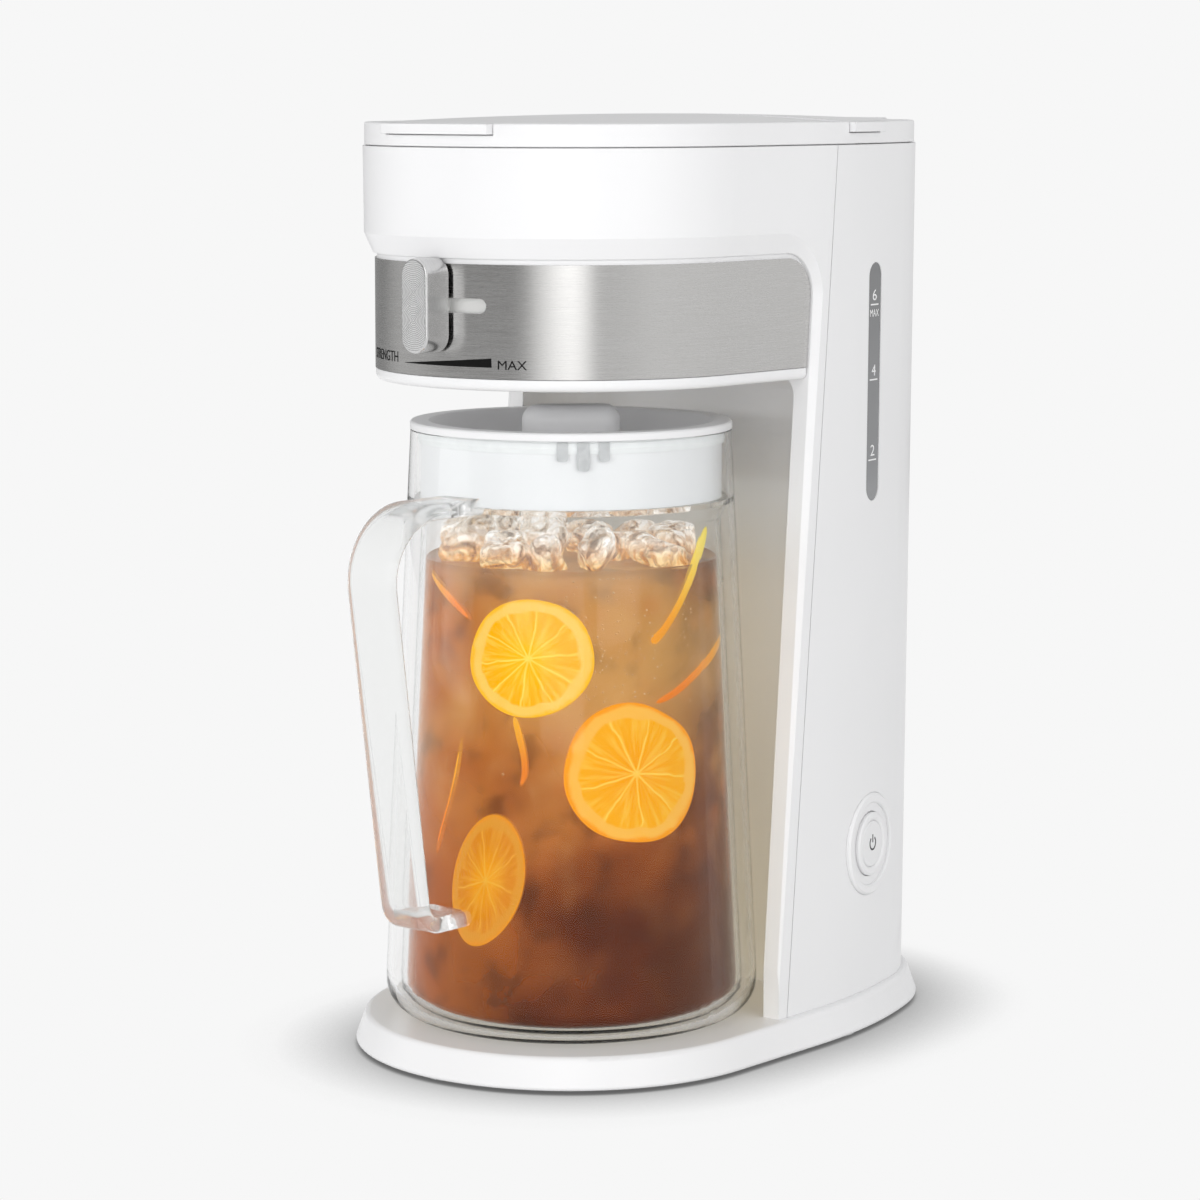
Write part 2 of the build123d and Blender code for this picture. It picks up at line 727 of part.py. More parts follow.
def strength_gate():
    """Shutter behind the slot and gate over the bypass ports, with the stem for the knob."""
    shutter = core_radius - wall - free_gap
    gate_outer = chamber_radius + free_gap + gate_plate
    gate = arc_plate(shutter, gate_plate, gate_half_angle, gate_height)
    gate += arc_plate(gate_outer, gate_plate, gate_half_angle * 0.75, gate_height * 0.75)
    for side in (-1, 0, 1):
        rib = block((-gate_rib / 2, gate_rib / 2), (-shutter + gate_plate / 3, -gate_outer + gate_plate / 3),
                    (slot_z - gate_rib_height / 2, slot_z + gate_rib_height / 2))
        gate += Rot(0, 0, side * gate_half_angle * 0.6) * rib
    for k in range(bypass_ports):
        angle = (k - bypass_ports / 2) * bypass_step
        gate -= Rot(0, 0, angle) * Pos(0, -gate_outer, slot_z) * Rot(90, 0, 0) * Cylinder(bypass_radius, 4)
    half = slot_height / 2 - 0.3
    stem = block((-stem_width / 2, stem_width / 2), (-band_radius - stem_reach, -shutter + gate_plate / 3),
                 (slot_z - half, slot_z + half))
    return gate + stem


def strength_knob():
    """Upright bar with round ends, its outer edge softened, pushed onto the stem."""
    back = band_radius + knob_gap
    face = Plane.XZ.offset(back) * Pos(0, slot_z) * SlotOverall(knob_height, knob_width, rotation=90)
    bar = extrude(face, knob_depth)
    bar = fillet(bar.edges().group_by(Axis.Y)[0], 1.0)
    half = slot_height / 2 - 0.3
    return bar - block((-stem_width / 2, stem_width / 2), (-band_radius - stem_reach, 0), (slot_z - half, slot_z + half))


# ---- Water path ----
def tank_space(inset, front, low, high, groove):
    """The tank's room in the tower, without the groove that the riser hose runs in."""
    space = tower(wall + tank_fit + inset, low, high) & block((-far, far), (front, far), (0, far))
    space -= block((-groove, groove), (0, pipe_y), (0, far))
    return space - tube(0, pipe_y, 0, far, groove)


def water_tank():
    groove = nipple_radius + hose_wall + 1.8
    tank = tank_space(0, tank_front, tank_bottom, deck_low, groove)
    tank -= tank_space(thin_wall, tank_front + thin_wall, tank_bottom + thin_wall, deck_low + 1, groove + thin_wall)
    tank += tube(inlet_x, pipe_y, tank_bottom - 8, tank_bottom + 1, valve_radius - 2)
    return tank - tube(inlet_x, pipe_y, tank_bottom - 9, tank_bottom + 5, nipple_bore)


def check_valve():
    top = tank_bottom - 8
    valve = tube(inlet_x, pipe_y, top - valve_length, top, valve_radius)
    valve += tube(inlet_x, pipe_y, top - valve_length - nipple_length, top - valve_length, nipple_radius)
    return valve - tube(inlet_x, pipe_y, 0, far, nipple_bore)


def heater_bend(radius):
    """Upright U of round section: two legs joined by a half circle."""
    low = heater_top - heater_depth
    middle = inlet_x / 2
    path = Line((inlet_x, pipe_y, heater_top), (inlet_x, pipe_y, low))
    path += ThreePointArc((inlet_x, pipe_y, low), (middle, pipe_y, low + middle), (0, pipe_y, low))
    path += Line((0, pipe_y, low), (0, pipe_y, heater_top))
    return sweep(Plane(origin=(inlet_x, pipe_y, heater_top), z_dir=(0, 0, -1)) * Circle(radius), path)


def heater():
    tube_body = heater_bend(heater_radius)
    for x in (inlet_x, 0):
        tube_body += tube(x, pipe_y, heater_top - 1, heater_top + nipple_length, nipple_radius)
    for x in (inlet_x, 0):
        tube_body -= tube(x, pipe_y, heater_top - heater_depth, heater_top + nipple_length + 1, nipple_bore)
    return tube_body


def hose(x, low, high):
    return tube(x, pipe_y, low, high, nipple_radius + hose_wall, nipple_radius)


def inlet_hose():
    return hose(inlet_x, heater_top, tank_bottom - 8 - valve_length)


def riser_hose():
    return hose(0, heater_top, spout_z - spout_bend - 6)


clamp_heights = [(inlet_x, heater_top + 3), (inlet_x, tank_bottom - valve_length - 17),
                 (0, heater_top + 3), (0, spout_z - spout_bend - 17)]


def hose_clamps():
    outer = nipple_radius + hose_wall
    return [tube(x, pipe_y, z, z + 6, outer + 0.8, outer) for x, z in clamp_heights]


def spout_run(radius):
    low = spout_z - spout_bend - 6 - nipple_length
    path = Line((0, pipe_y, low), (0, pipe_y, spout_z - spout_bend))
    path += ThreePointArc((0, pipe_y, spout_z - spout_bend),
                          (0, pipe_y - spout_bend * (1 - math.sqrt(0.5)), spout_z - spout_bend * (1 - math.sqrt(0.5))),
                          (0, pipe_y - spout_bend, spout_z))
    path += Line((0, pipe_y - spout_bend, spout_z), (0, spout_end, spout_z))
    return sweep(Plane(origin=(0, pipe_y, low), z_dir=(0, 0, 1)) * Circle(radius), path)


def water_spout():
    flange_z = spout_z - spout_bend - 6
    spout = spout_run(nipple_radius) + tube(0, pipe_y, flange_z, flange_z + 1.6, nipple_radius + 1.6)
    return spout - spout_run(nipple_bore)


def heater_bracket():
    """Plate behind the heater, standing on the base."""
    rear = pipe_y + heater_radius
    width = (inlet_x - bracket_overhang, bracket_overhang)
    plate = block(width, (rear, rear + bracket_sheet), (base_height, heater_top - bracket_drop))
    foot = block(width, (rear, rear + bracket_foot), (base_height, base_height + bracket_sheet))
    return plate + foot


def thermostat():
    rear = pipe_y + heater_radius + bracket_sheet
    body = Pos(inlet_x, rear + 3, heater_top - 34) * Rot(90, 0, 0) * Cylinder(8, 6)
    for side in (-1, 1):
        body += block((inlet_x + side * 4 - 1.5, inlet_x + side * 4 + 1.5), (rear + 5, rear + 11),
                      (heater_top - 34.4, heater_top - 33.6))
    return body


def thermal_fuse():
    rear = pipe_y + heater_radius + bracket_sheet
    place = Pos(-fuse_length / 2, rear + fuse_radius, heater_top - heater_depth + fuse_length)
    barrel = place * Cylinder(fuse_radius, fuse_length)
    leads = place * Cylinder(fuse_radius / 4, 2.5 * fuse_length)
    return barrel + leads


# ---- Window and button ----
def level_window():
    skin = tower(0.35, base_height, tower_top) - tower(wall, base_height - 1, tower_top + 1)
    return skin & window_shape(0, -10, 10)


def button_bezel():
    """Raised ring with a sunk floor and a guide tube behind it."""
    hole = cap_radius + 0.3
    guide = cap_radius + 2.3
    return button_turned([(hole, -board_depth), (guide, -board_depth), (guide, -1.2), (bezel_radius, -1.2),
                          (bezel_radius, 0.1), (bezel_radius - 0.9, 1.0), (recess_radius + 0.6, 1.0),
                          (recess_radius, 0.4), (recess_radius, -0.4), (hole, -0.4)])


def button_cap():
    """Cup with a seat for the lens in front and a stem for the switch behind."""
    stem = 4.0
    return button_turned([(0, -cap_depth), (stem, -cap_depth), (stem, -3), (cap_radius - 1.6, -3),
                          (cap_radius - 1.6, -cap_depth), (cap_radius, -cap_depth), (cap_radius, 0.6),
                          (cap_radius - 0.8, 1.3), (lens_radius + 1.1, 1.3), (lens_radius + 0.1, 0.6),
                          (lens_radius + 0.1, -0.8), (0, -0.8)])


def button_lens():
    return button_turned([(0, -0.8), (lens_radius, -0.8), (lens_radius, 0.6), (lens_radius - 0.6, 1.0), (0, 1.0)])


def switch_board():
    """Round board on the end of the bezel's guide."""
    radius = cap_radius + 1.5
    return button_turned([(0, -board_depth - board_thickness), (radius, -board_depth - board_thickness),
                          (radius, -board_depth), (0, -board_depth)])


def tact_switch():
    """Square switch on the board, its plunger just short of the pressed stem."""
    body = Pos(0, 0, -board_depth + switch_body / 2) * Box(switch_side, switch_side, switch_body)
    plunger = tube(0, 0, -board_depth + 1, -cap_depth - button_travel - 0.3, plunger_radius)
    return button_frame * (body + plunger)


# ---- Jug ----
def jug_radius(z):
    """Outside radius of the jug's straight side at height z."""
    share = (jug_rim_z - z) / (jug_rim_z - jug_belly_z)
    return jug_rim_radius + share * (jug_belly_radius - jug_rim_radius)


def jug_profile(inset, top, floor):
    """Half section of the jug's body, filled, inset from its outside, as a face."""
    belly = jug_belly_radius - inset
    corner = jug_corner - inset / 2
    bulge = corner * (1 - math.sqrt(0.5))
    edges = [
        Line((0, floor), (belly - corner, floor)),
        ThreePointArc((belly - corner, floor), (belly - bulge, floor + bulge), (belly, floor + corner)),
        Line((belly, floor + corner), (belly, jug_belly_z)),
        Line((belly, jug_belly_z), (jug_radius(top) - inset, top)),
        Line((jug_radius(top) - inset, top), (0, top)),
        Line((0, top), (0, floor)),
    ]
    return Plane.XZ * make_face(edges)


def jug_solid(inset, top, floor):
    return revolve(jug_profile(inset, top, floor), Axis.Z)


def handle_path():
    start = (0, -jug_radius(handle_top_z) + jug_wall / 2, handle_top_z)
    knee = (0, -handle_reach + handle_thickness / 2, handle_top_z)
    ankle = (0, -handle_foot_reach + handle_thickness / 2, handle_foot_z)
    end = (0, -jug_radius(handle_foot_z) + jug_wall / 2, handle_foot_z)
    return FilletPolyline(start, knee, ankle, end, radius=[handle_corner, handle_foot_corner])


def jug_handle():
    start = (0, -jug_radius(handle_top_z) + jug_wall / 2, handle_top_z)
    section = Plane(origin=start, x_dir=(1, 0, 0), z_dir=(0, -1, 0)) * RectangleRounded(
        handle_width, handle_thickness, handle_thickness * 0.4)
    return sweep(section, handle_path())


def jug_body():
    floor = base_height + jug_clearance
    wall_shell = jug_solid(0, jug_rim_z, floor) - jug_solid(jug_wall, jug_rim_z + 1, floor + jug_wall)
    return wall_shell + (jug_handle() - jug_solid(jug_wall / 2, jug_rim_z, floor))


def jug_liner():
    """Inner wall of the jug: hangs from a shoulder against the outer wall and stands on its floor."""
    floor = base_height + jug_clearance + jug_wall
    outer = liner_inset - liner_wall
    cup = jug_solid(outer, liner_top, floor)
    shoulder_top = liner_top + shoulder_height
    shoulder = turned([(0, liner_top), (jug_radius(liner_top) - outer, liner_top),
                       (jug_radius(shoulder_top) - jug_wall, shoulder_top), (0, shoulder_top)])
    rim = turned([(0, shoulder_top), (jug_radius(shoulder_top) - jug_wall, shoulder_top),
                  (jug_radius(shoulder_top + 2) - jug_wall, shoulder_top + 2), (0, shoulder_top + 2)])
    hollow = jug_solid(liner_inset, liner_top, floor + liner_wall)
    hollow += turned([(0, liner_top), (jug_radius(liner_top) - liner_inset, liner_top),
                      (jug_radius(shoulder_top + 2) - jug_wall - liner_wall, shoulder_top + 2 + 0.01),
                      (0, shoulder_top + 2.01)])
    return cup + shoulder + rim - hollow


def jug_lid():
    low = jug_rim_z + free_gap
    top = low + lid_flange
    bowl_wall = 2.0
    lid = turned([(0, bowl_floor), (bowl_radius - 8, bowl_floor), (skirt_radius - skirt_wall - 0.1, low - 2),
                  (skirt_radius - skirt_wall, skirt_bottom), (skirt_radius, skirt_bottom), (skirt_radius, low),
                  (lid_flange_radius, low), (lid_flange_radius, top - 0.6), (lid_flange_radius - 0.6, top),
                  (bowl_radius + 1, top), (bowl_radius, top - 1), (bowl_radius - 8, bowl_floor + bowl_wall),
                  (0, bowl_floor + bowl_wall)])
    grip = extrude(Pos(0, 0, bowl_floor) * SlotOverall(grip_length, grip_width), grip_top - bowl_floor)
    grip = fillet(grip.edges().group_by(Axis.Z)[-1], 6.0)
    lid += Rot(0, 0, grip_angle) * grip
    for k in range(12):
        angle = math.radians(30 * k + 15)
        lid -= tube(30 * math.cos(angle), 30 * math.sin(angle), 0, far, 2.5)
    return lid


def jug_lid_seal():
    """Soft ring round the lid's skirt, just under its flange."""
    high = jug_rim_z - 0.6
    low = high - seal_height
    reach = jug_radius(high) - jug_wall - 0.3
    return turned([(skirt_radius, low), (reach - 0.4, low), (reach, low + seal_height / 2), (reach - 0.4, high),
                   (skirt_radius, high)])


# ---- All pieces, moved to the row frame and written out ----
pieces = {
    "base_shell": base_shell(),
    "base_cover": base_cover(),
    "rubber_feet": rubber_feet(),
    "base_screws": base_screws(),
    "tower_screws": tower_screws(),
    "front_housing": front_housing(),
    "rear_housing": rear_housing(),
    "cord_gland": cord_gland(),
    "steel_band": steel_band(),
    "band_trim": band_trim(),
    "top_collar": top_collar(),
    "front_lid_pin": hinge_pin(front_hinge_y, front_barrel_length),
    "tank_lid_pin": hinge_pin(rear_hinge_y, rear_barrel_length),
    "front_lid": front_lid(),
    "tank_lid": tank_lid(),
    "spray_dish": spray_dish(),
    "brew_chamber": brew_chamber(),
    "brew_basket": brew_basket(),
    "filter_screen": filter_screen(),
    "strength_gate": strength_gate(),
    "strength_knob": strength_knob(),
    "water_tank": water_tank(),
    "check_valve": check_valve(),
    "inlet_hose": inlet_hose(),
    "heater": heater(),
    "riser_hose": riser_hose(),
    "hose_clamps": hose_clamps(),
    "water_spout": water_spout(),
    "heater_bracket": heater_bracket(),
    "thermostat": thermostat(),
    "thermal_fuse": thermal_fuse(),
    "level_window": level_window(),
    "button_bezel": button_bezel(),
    "button_cap": button_cap(),
    "button_lens": button_lens(),
    "switch_board": switch_board(),
    "tact_switch": tact_switch(),
    "jug_body": jug_body(),
    "jug_liner": jug_liner(),
    "jug_lid": jug_lid(),
    "jug_lid_seal": jug_lid_seal(),
}

# The row frame's origin is on the floor, under the middle of the whole length, handle included.
front_end = pieces["jug_body"].bounding_box().min.Y
rear_end = pieces["base_shell"].bounding_box().max.Y
to_row_frame = Pos(0, -(front_end + rear_end) / 2, foot_height)

os.makedirs("parts", exist_ok=True)
for name, piece in pieces.items():
    solids = piece if isinstance(piece, list) else piece.solids()
    moved = [to_row_frame * solid for solid in solids]
    export_step(moved[0] if len(moved) == 1 else Compound(children=moved), f"parts/{name}.step")
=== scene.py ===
# Iced tea maker with a filled jug: materials, labels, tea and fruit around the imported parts
import math

import bmesh
import bpy
import numpy as np
from mathutils import Matrix, Vector


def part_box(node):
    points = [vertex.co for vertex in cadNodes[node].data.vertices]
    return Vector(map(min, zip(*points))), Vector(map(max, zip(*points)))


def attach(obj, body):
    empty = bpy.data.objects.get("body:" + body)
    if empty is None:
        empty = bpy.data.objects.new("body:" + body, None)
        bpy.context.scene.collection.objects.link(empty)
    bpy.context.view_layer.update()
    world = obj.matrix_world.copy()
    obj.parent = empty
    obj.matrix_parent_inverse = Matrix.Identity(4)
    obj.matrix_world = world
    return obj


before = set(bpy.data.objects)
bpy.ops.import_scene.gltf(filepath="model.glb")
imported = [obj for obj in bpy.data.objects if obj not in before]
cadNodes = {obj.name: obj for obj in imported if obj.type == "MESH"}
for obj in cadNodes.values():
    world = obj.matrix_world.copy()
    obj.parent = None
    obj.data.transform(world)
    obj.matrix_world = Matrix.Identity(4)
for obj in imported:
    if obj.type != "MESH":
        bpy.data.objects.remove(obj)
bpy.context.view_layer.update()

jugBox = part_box("jug_liner")
jugAxisY = (jugBox[0][1] + jugBox[1][1]) / 2  # metres, the jug stands on this line
floorToBase = 0.0015  # metres, height of the feet
mm = 0.001
smooth = {"interpolation_type": "SMOOTHSTEP"}  # Map Range: sockets 0 value, 1 and 2 from, 3 and 4 to
colours = {"data_type": "RGBA"}  # Mix: sockets 0 factor, 6 and 7 the two colours


def perMetre(size):
    # a pattern's scale on Object coordinates, from its real size in mm
    return 1 / (size * mm)


def linearColour(code):
    # sRGB hex to linear RGBA, and any other value as it is
    if not isinstance(code, str):
        return code
    parts = [int(code[i:i + 2], 16) / 255 for i in (1, 3, 5)]
    return tuple(c / 12.92 if c <= 0.04045 else ((c + 0.055) / 1.055) ** 2.4 for c in parts) + (1.0,)


def addNode(tree, kind, settings=None):
    # one node: lower case keys are its options, the others its sockets, by name or number. An output is
    # linked, and so is a node, from its first live output. A hex code becomes a colour, and stops fill a ramp
    node = tree.nodes.new("ShaderNode" + kind)
    sockets = dict(settings or {})
    stops = sockets.pop("stops", [])
    for key in [key for key in sockets if str(key)[0].islower()]:
        setattr(node, key, sockets.pop(key))
    for key, value in sockets.items():
        if isinstance(value, bpy.types.Node):
            value = next(output for output in value.outputs if output.enabled)
        if isinstance(value, bpy.types.NodeSocket):
            tree.links.new(value, node.inputs[key])
        else:
            node.inputs[key].default_value = linearColour(value)
    for _ in stops[2:]:
        node.color_ramp.elements.new(0.5)
    for number, (position, colour) in enumerate(stops):
        node.color_ramp.elements[number].position = position
        node.color_ramp.elements[number].color = linearColour(colour)
    return node


def newMaterial(name):
    # an empty material and its node tree
    material = bpy.data.materials.new(name)
    material.use_nodes = True
    material.node_tree.nodes.clear()
    return material, material.node_tree


def objectCoords(tree, scale=(1, 1, 1), location=(0, 0, 0)):
    # Object coordinates in metres, stretched and moved
    coords = addNode(tree, "TexCoord")
    return addNode(tree, "Mapping", {
        "Vector": coords.outputs["Object"], "Scale": scale, "Location": location})


def lampsPass(tree, surface, tint):
    # lamps and scattered light go straight through a clear piece, a little tinted, so what is inside is lit
    through = addNode(tree, "BsdfTransparent", {"Color": tint})
    rays = addNode(tree, "LightPath")
    lamp = addNode(tree, "Math", {
        "operation": "MAXIMUM", 0: rays.outputs["Is Shadow Ray"], 1: rays.outputs["Is Diffuse Ray"]})
    return addNode(tree, "MixShader", {0: lamp, 1: surface, 2: through})


def seenDirectly(tree):
    # 1 where the eye, a mirror or glass looks, 0 where light falls on things
    rays = addNode(tree, "LightPath")
    mirrored = addNode(tree, "Math", {
        "operation": "MAXIMUM", 0: rays.outputs["Is Glossy Ray"], 1: rays.outputs["Is Transmission Ray"]})
    return addNode(tree, "Math", {"operation": "MAXIMUM", 0: rays.outputs["Is Camera Ray"], 1: mirrored})


def meshObject(name, points, faces, material, rounded=True, uv=None, outward=False):
    # points and faces as one piece, smooth shaded where rounded, its faces turned outward where asked
    mesh = bpy.data.meshes.new(name)
    mesh.from_pydata(points.tolist(), [], faces)
    mesh.update()
    if rounded:
        mesh.polygons.foreach_set("use_smooth", np.ones(len(mesh.polygons), dtype=bool))
    if uv is not None:
        layer = mesh.uv_layers.new(name="surface")
        corner = np.empty(len(mesh.loops), dtype=np.int32)
        mesh.loops.foreach_get("vertex_index", corner)
        layer.data.foreach_set("uv", uv[corner].astype(np.float32).ravel())
    if outward:
        solid = bmesh.new()
        solid.from_mesh(mesh)
        bmesh.ops.remove_doubles(solid, verts=solid.verts, dist=1e-7)
        bmesh.ops.recalc_face_normals(solid, faces=solid.faces)
        solid.to_mesh(mesh)
        solid.free()
    mesh.materials.append(material)
    piece = bpy.data.objects.new(name, mesh)
    bpy.context.scene.collection.objects.link(piece)
    return piece


def gridFaces(rows, columns):
    # quads of a rows x columns grid of points, wrapped round its columns
    r, c = np.meshgrid(np.arange(rows - 1), np.arange(columns), indexing="ij")
    n = (c + 1) % columns
    quads = np.stack([r * columns + c, r * columns + n, (r + 1) * columns + n, (r + 1) * columns + c], -1)
    return quads.reshape(-1, 4)


def fanFaces(first, steps, pole):
    # triangles from a closed ring of points, the first one's number given, to one pole
    c = np.arange(steps)
    return np.stack([first + c, first + (c + 1) % steps, np.full(steps, pole)], 1)


def closedFaces(rows, steps):
    # a wrapped grid closed at both ends by two poles, whose points follow the grid's
    foot = rows * steps
    fans = [fanFaces(0, steps, foot)[:, ::-1], fanFaces(foot - steps, steps, foot + 1)]
    return gridFaces(rows, steps).tolist() + np.concatenate(fans).tolist()


def turnedGrid(profile, steps):
    # point(i, a) = (r_i sin a, -r_i cos a, z_i): a profile of (radius, z) turned about an upright axis
    profile = np.asarray(profile, dtype=float)
    angle = np.linspace(0, 2 * np.pi, steps, endpoint=False)
    r, a = np.meshgrid(profile[:, 0], angle, indexing="ij")
    z = np.repeat(profile[:, 1][:, None], steps, 1)
    return np.stack([r * np.sin(a), -r * np.cos(a), z], -1).reshape(-1, 3)


def roundAxis(radius, angle, z):
    # points at a radius and an angle about the jug's axis, 0 at the front
    return np.stack([radius * np.sin(angle), -radius * np.cos(angle), z], 1)


def toRow(points):
    # drawing millimetres, about the jug's axis and above the base's underside, to row metres
    return points * mm + np.array([0, jugAxisY, floorToBase])


print("stage: helpers ready")


def mouldedPlastic(name, hexColour, roughness, edge=0.5, mottle=0.02, grain=0.0):
    # ABS, injection moulded against a polished tool: the eye sees an even white skin, a soft sheen,
    # very slight sink and flow tone, and edges that catch a thin light line. The grain is drawn coarser than
    # real so it shows
    material, tree = newMaterial(name)
    where = objectCoords(tree)
    flow = addNode(tree, "TexNoise", {"Vector": where, "Scale": perMetre(71.4), "Detail": 2.0})
    skin = addNode(tree, "TexNoise", {"Vector": where, "Scale": perMetre(1.11), "Detail": 2.0})
    shade = tuple(c * (1 - mottle * 2) for c in linearColour(hexColour)[:3]) + (1.0,)
    sheen = addNode(tree, "MapRange", {
        **smooth, 0: flow, 1: 0.3, 2: 0.7, 3: roughness - 0.03, 4: roughness + 0.04})
    rounded = addNode(tree, "Bevel", {"samples": 4, "Radius": edge * mm})
    bump = addNode(tree, "Bump", {
        "Height": skin, "Strength": 0.02 + grain, "Distance": 0.2 * mm, "Normal": rounded})
    shader = addNode(tree, "BsdfPrincipled", {
        "Base Color": addNode(tree, "Mix", {**colours, 0: flow, 6: hexColour, 7: shade}), "Roughness": sheen,
        "IOR": 1.53, "Normal": bump})
    addNode(tree, "OutputMaterial", {"Surface": shader})
    return material


plastics = {
    "whiteAbsPolishedMould": {"hexColour": "#F0F0F1", "roughness": 0.34},
    "whiteAbsLidMould": {"hexColour": "#F0F0F1", "roughness": 0.36},
    "polypropyleneNatural": {"hexColour": "#E4E4E2", "roughness": 0.5, "grain": 0.02},
    "nylonBlackMould": {"hexColour": "#1B1C1D", "roughness": 0.5, "edge": 0.3},
    "glassEpoxyBoard": {"hexColour": "#1F5A3A", "roughness": 0.4, "edge": 0.2},
    "fibreSleeveWoven": {"hexColour": "#D8D2C2", "roughness": 0.6, "edge": 0.2, "mottle": 0.06, "grain": 0.1},
    "acrylicOpalLens": {"hexColour": "#EDEDEE", "roughness": 0.3, "edge": 0.3},
}
whiteAbs, lidAbs, innerPp, blackNylon, boardLaminate, sleeveFibre, lensAcrylic = (
    mouldedPlastic(name, **look) for name, look in plastics.items())

# the jug's moulded wall in mm: its outer radius at a height z above the base is radius - taper * z. The
# index is set well under styrene's 1.57, because the jug shows almost no mirror of the room
jugWall = {"radius": 73.89, "taper": 0.04958, "thick": 2.4, "index": 1.16, "tint": "#FDFDFD"}


def clearPlastic(name, roughness, frostNode):
    # styrene-acrylonitrile, injection moulded and polished: clear, with bright and grey lines where walls
    # turn away, and haze where frostNode puts it
    material, tree = newMaterial(name)
    rounded = addNode(tree, "Bevel", {"samples": 4, "Radius": 0.6 * mm})
    glassy = addNode(tree, "BsdfPrincipled", {
        "Base Color": jugWall["tint"], "Roughness": roughness, "IOR": jugWall["index"],
        "Transmission Weight": 1.0, "Normal": rounded})
    haze = addNode(tree, "BsdfPrincipled", {
        "Base Color": "#E2E3E2", "Roughness": 0.35, "IOR": 1.5, "Specular IOR Level": 0.2})
    surface = addNode(tree, "MixShader", {0: frostNode(tree), 1: glassy, 2: haze})
    addNode(tree, "OutputMaterial", {"Surface": lampsPass(tree, surface, (0.96, 0.97, 0.97, 1.0))})
    return material


frost = {"from": 0.6, "to": 6.0, "most": 0.28}  # mm out from the tapered wall, and the share of haze there


def handleFrost(tree):
    # the thick handle looks milky, the thin wall doesn't: more haze the farther out from the tapered wall
    where = objectCoords(tree, location=(0, -jugAxisY, -floorToBase))
    height = addNode(tree, "SeparateXYZ", {0: where}).outputs["Z"]
    flat = addNode(tree, "VectorMath", {"operation": "MULTIPLY", 0: where, 1: (1, 1, 0)})
    reach = addNode(tree, "VectorMath", {"operation": "LENGTH", 0: flat})
    taper = addNode(tree, "Math", {"operation": "MULTIPLY", 0: height, 1: jugWall["taper"]})
    straight = addNode(tree, "Math", {"operation": "ADD", 0: reach, 1: taper})
    outside = addNode(tree, "Math", {"operation": "SUBTRACT", 0: straight, 1: jugWall["radius"] * mm})
    return addNode(tree, "MapRange", {
        **smooth, 0: outside, 1: frost["from"] * mm, 2: frost["to"] * mm, 4: frost["most"]})


fog = {"from": 175, "to": 205, "most": 0.16, "patches": 26.3}  # mm, heights above the floor


def linerFog(tree):
    # cold tea fogs the liner above and just below its surface, in soft patches
    where = objectCoords(tree)
    height = addNode(tree, "SeparateXYZ", {0: where}).outputs["Z"]
    patches = addNode(tree, "TexNoise", {
        "Vector": where, "Scale": perMetre(fog["patches"]), "Detail": 4.0, "Roughness": 0.6})
    rise = addNode(tree, "MapRange", {
        **smooth, 0: height, 1: fog["from"] * mm, 2: fog["to"] * mm, 4: fog["most"]})
    return addNode(tree, "Math", {"operation": "MULTIPLY", 0: rise, 1: patches})


jugClear = clearPlastic("styreneClearPolished", 0.02, handleFrost)
linerClear = clearPlastic("styreneClearFogged", 0.03, linerFog)


def brushedSteel(name, hexColours, roughness, lines, depth, anisotropy=0.0):
    # sheet metal, belt brushed, drawn or plated: fine lines or grain, their size along x, y and z in mm, that
    # smear reflections across them, drawn coarser than real so they show
    material, tree = newMaterial(name)
    grain = addNode(tree, "TexNoise", {
        "Vector": objectCoords(tree, scale=[perMetre(size) for size in lines]), "Scale": 1.0, "Detail": 3.0,
        "Roughness": 0.6})
    rough = addNode(tree, "MapRange", {
        **smooth, 0: grain, 1: 0.3, 2: 0.7, 3: roughness - 0.05, 4: roughness + 0.06})
    bump = addNode(tree, "Bump", {"Height": grain, "Strength": depth, "Distance": 0.1 * mm})
    colour = addNode(tree, "ValToRGB", {"Fac": grain, "stops": list(zip((0.3, 0.7), hexColours))})
    look = {"Base Color": colour, "Metallic": 1.0, "Roughness": rough, "Anisotropic": anisotropy,
            "Anisotropic Rotation": 0.25, "Normal": bump}
    if anisotropy:
        look["Tangent"] = addNode(tree, "Tangent", {"direction_type": "RADIAL", "axis": "Z"})
    addNode(tree, "OutputMaterial", {"Surface": addNode(tree, "BsdfPrincipled", look)})
    return material


metals = {
    "stainlessBeltBrushed": {"hexColours": ("#C3C2C0", "#C9C8C7"), "roughness": 0.24,
                             "lines": (16.67, 16.67, 0.1667), "depth": 0.04, "anisotropy": 0.75},
    "stainlessWireDrawn": {"hexColours": ("#9A9A9C", "#ABABAD"), "roughness": 0.3,
                           "lines": (16.67, 0.2, 0.2), "depth": 0.08},
    "steelZincPlated": {"hexColours": ("#96979B", "#ABACB0"), "roughness": 0.38,
                        "lines": (0.833, 0.833, 0.833), "depth": 0.1},
    "steelGalvanised": {"hexColours": ("#8F9194", "#A5A7AA"), "roughness": 0.42,
                        "lines": (6.25, 6.25, 6.25), "depth": 0.1},
    "aluminiumExtruded": {"hexColours": ("#A3A4A6", "#B5B6B8"), "roughness": 0.4,
                          "lines": (0.4, 0.4, 16.67), "depth": 0.12},
}
bandSteel, pinSteel, screwSteel, bracketSteel, heaterMetal = (
    brushedSteel(name, **look) for name, look in metals.items())

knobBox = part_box("strength_knob")
spun = {"ring": 0.7, "apart": 5.2, "grain": (3.333, 0.3333, 3.333), "cut": ("#C2C2C2", "#F4F4F4"),
        "flank": ("#CDCDCD", "#DADADA")}  # mm, rings coarser than real so they show


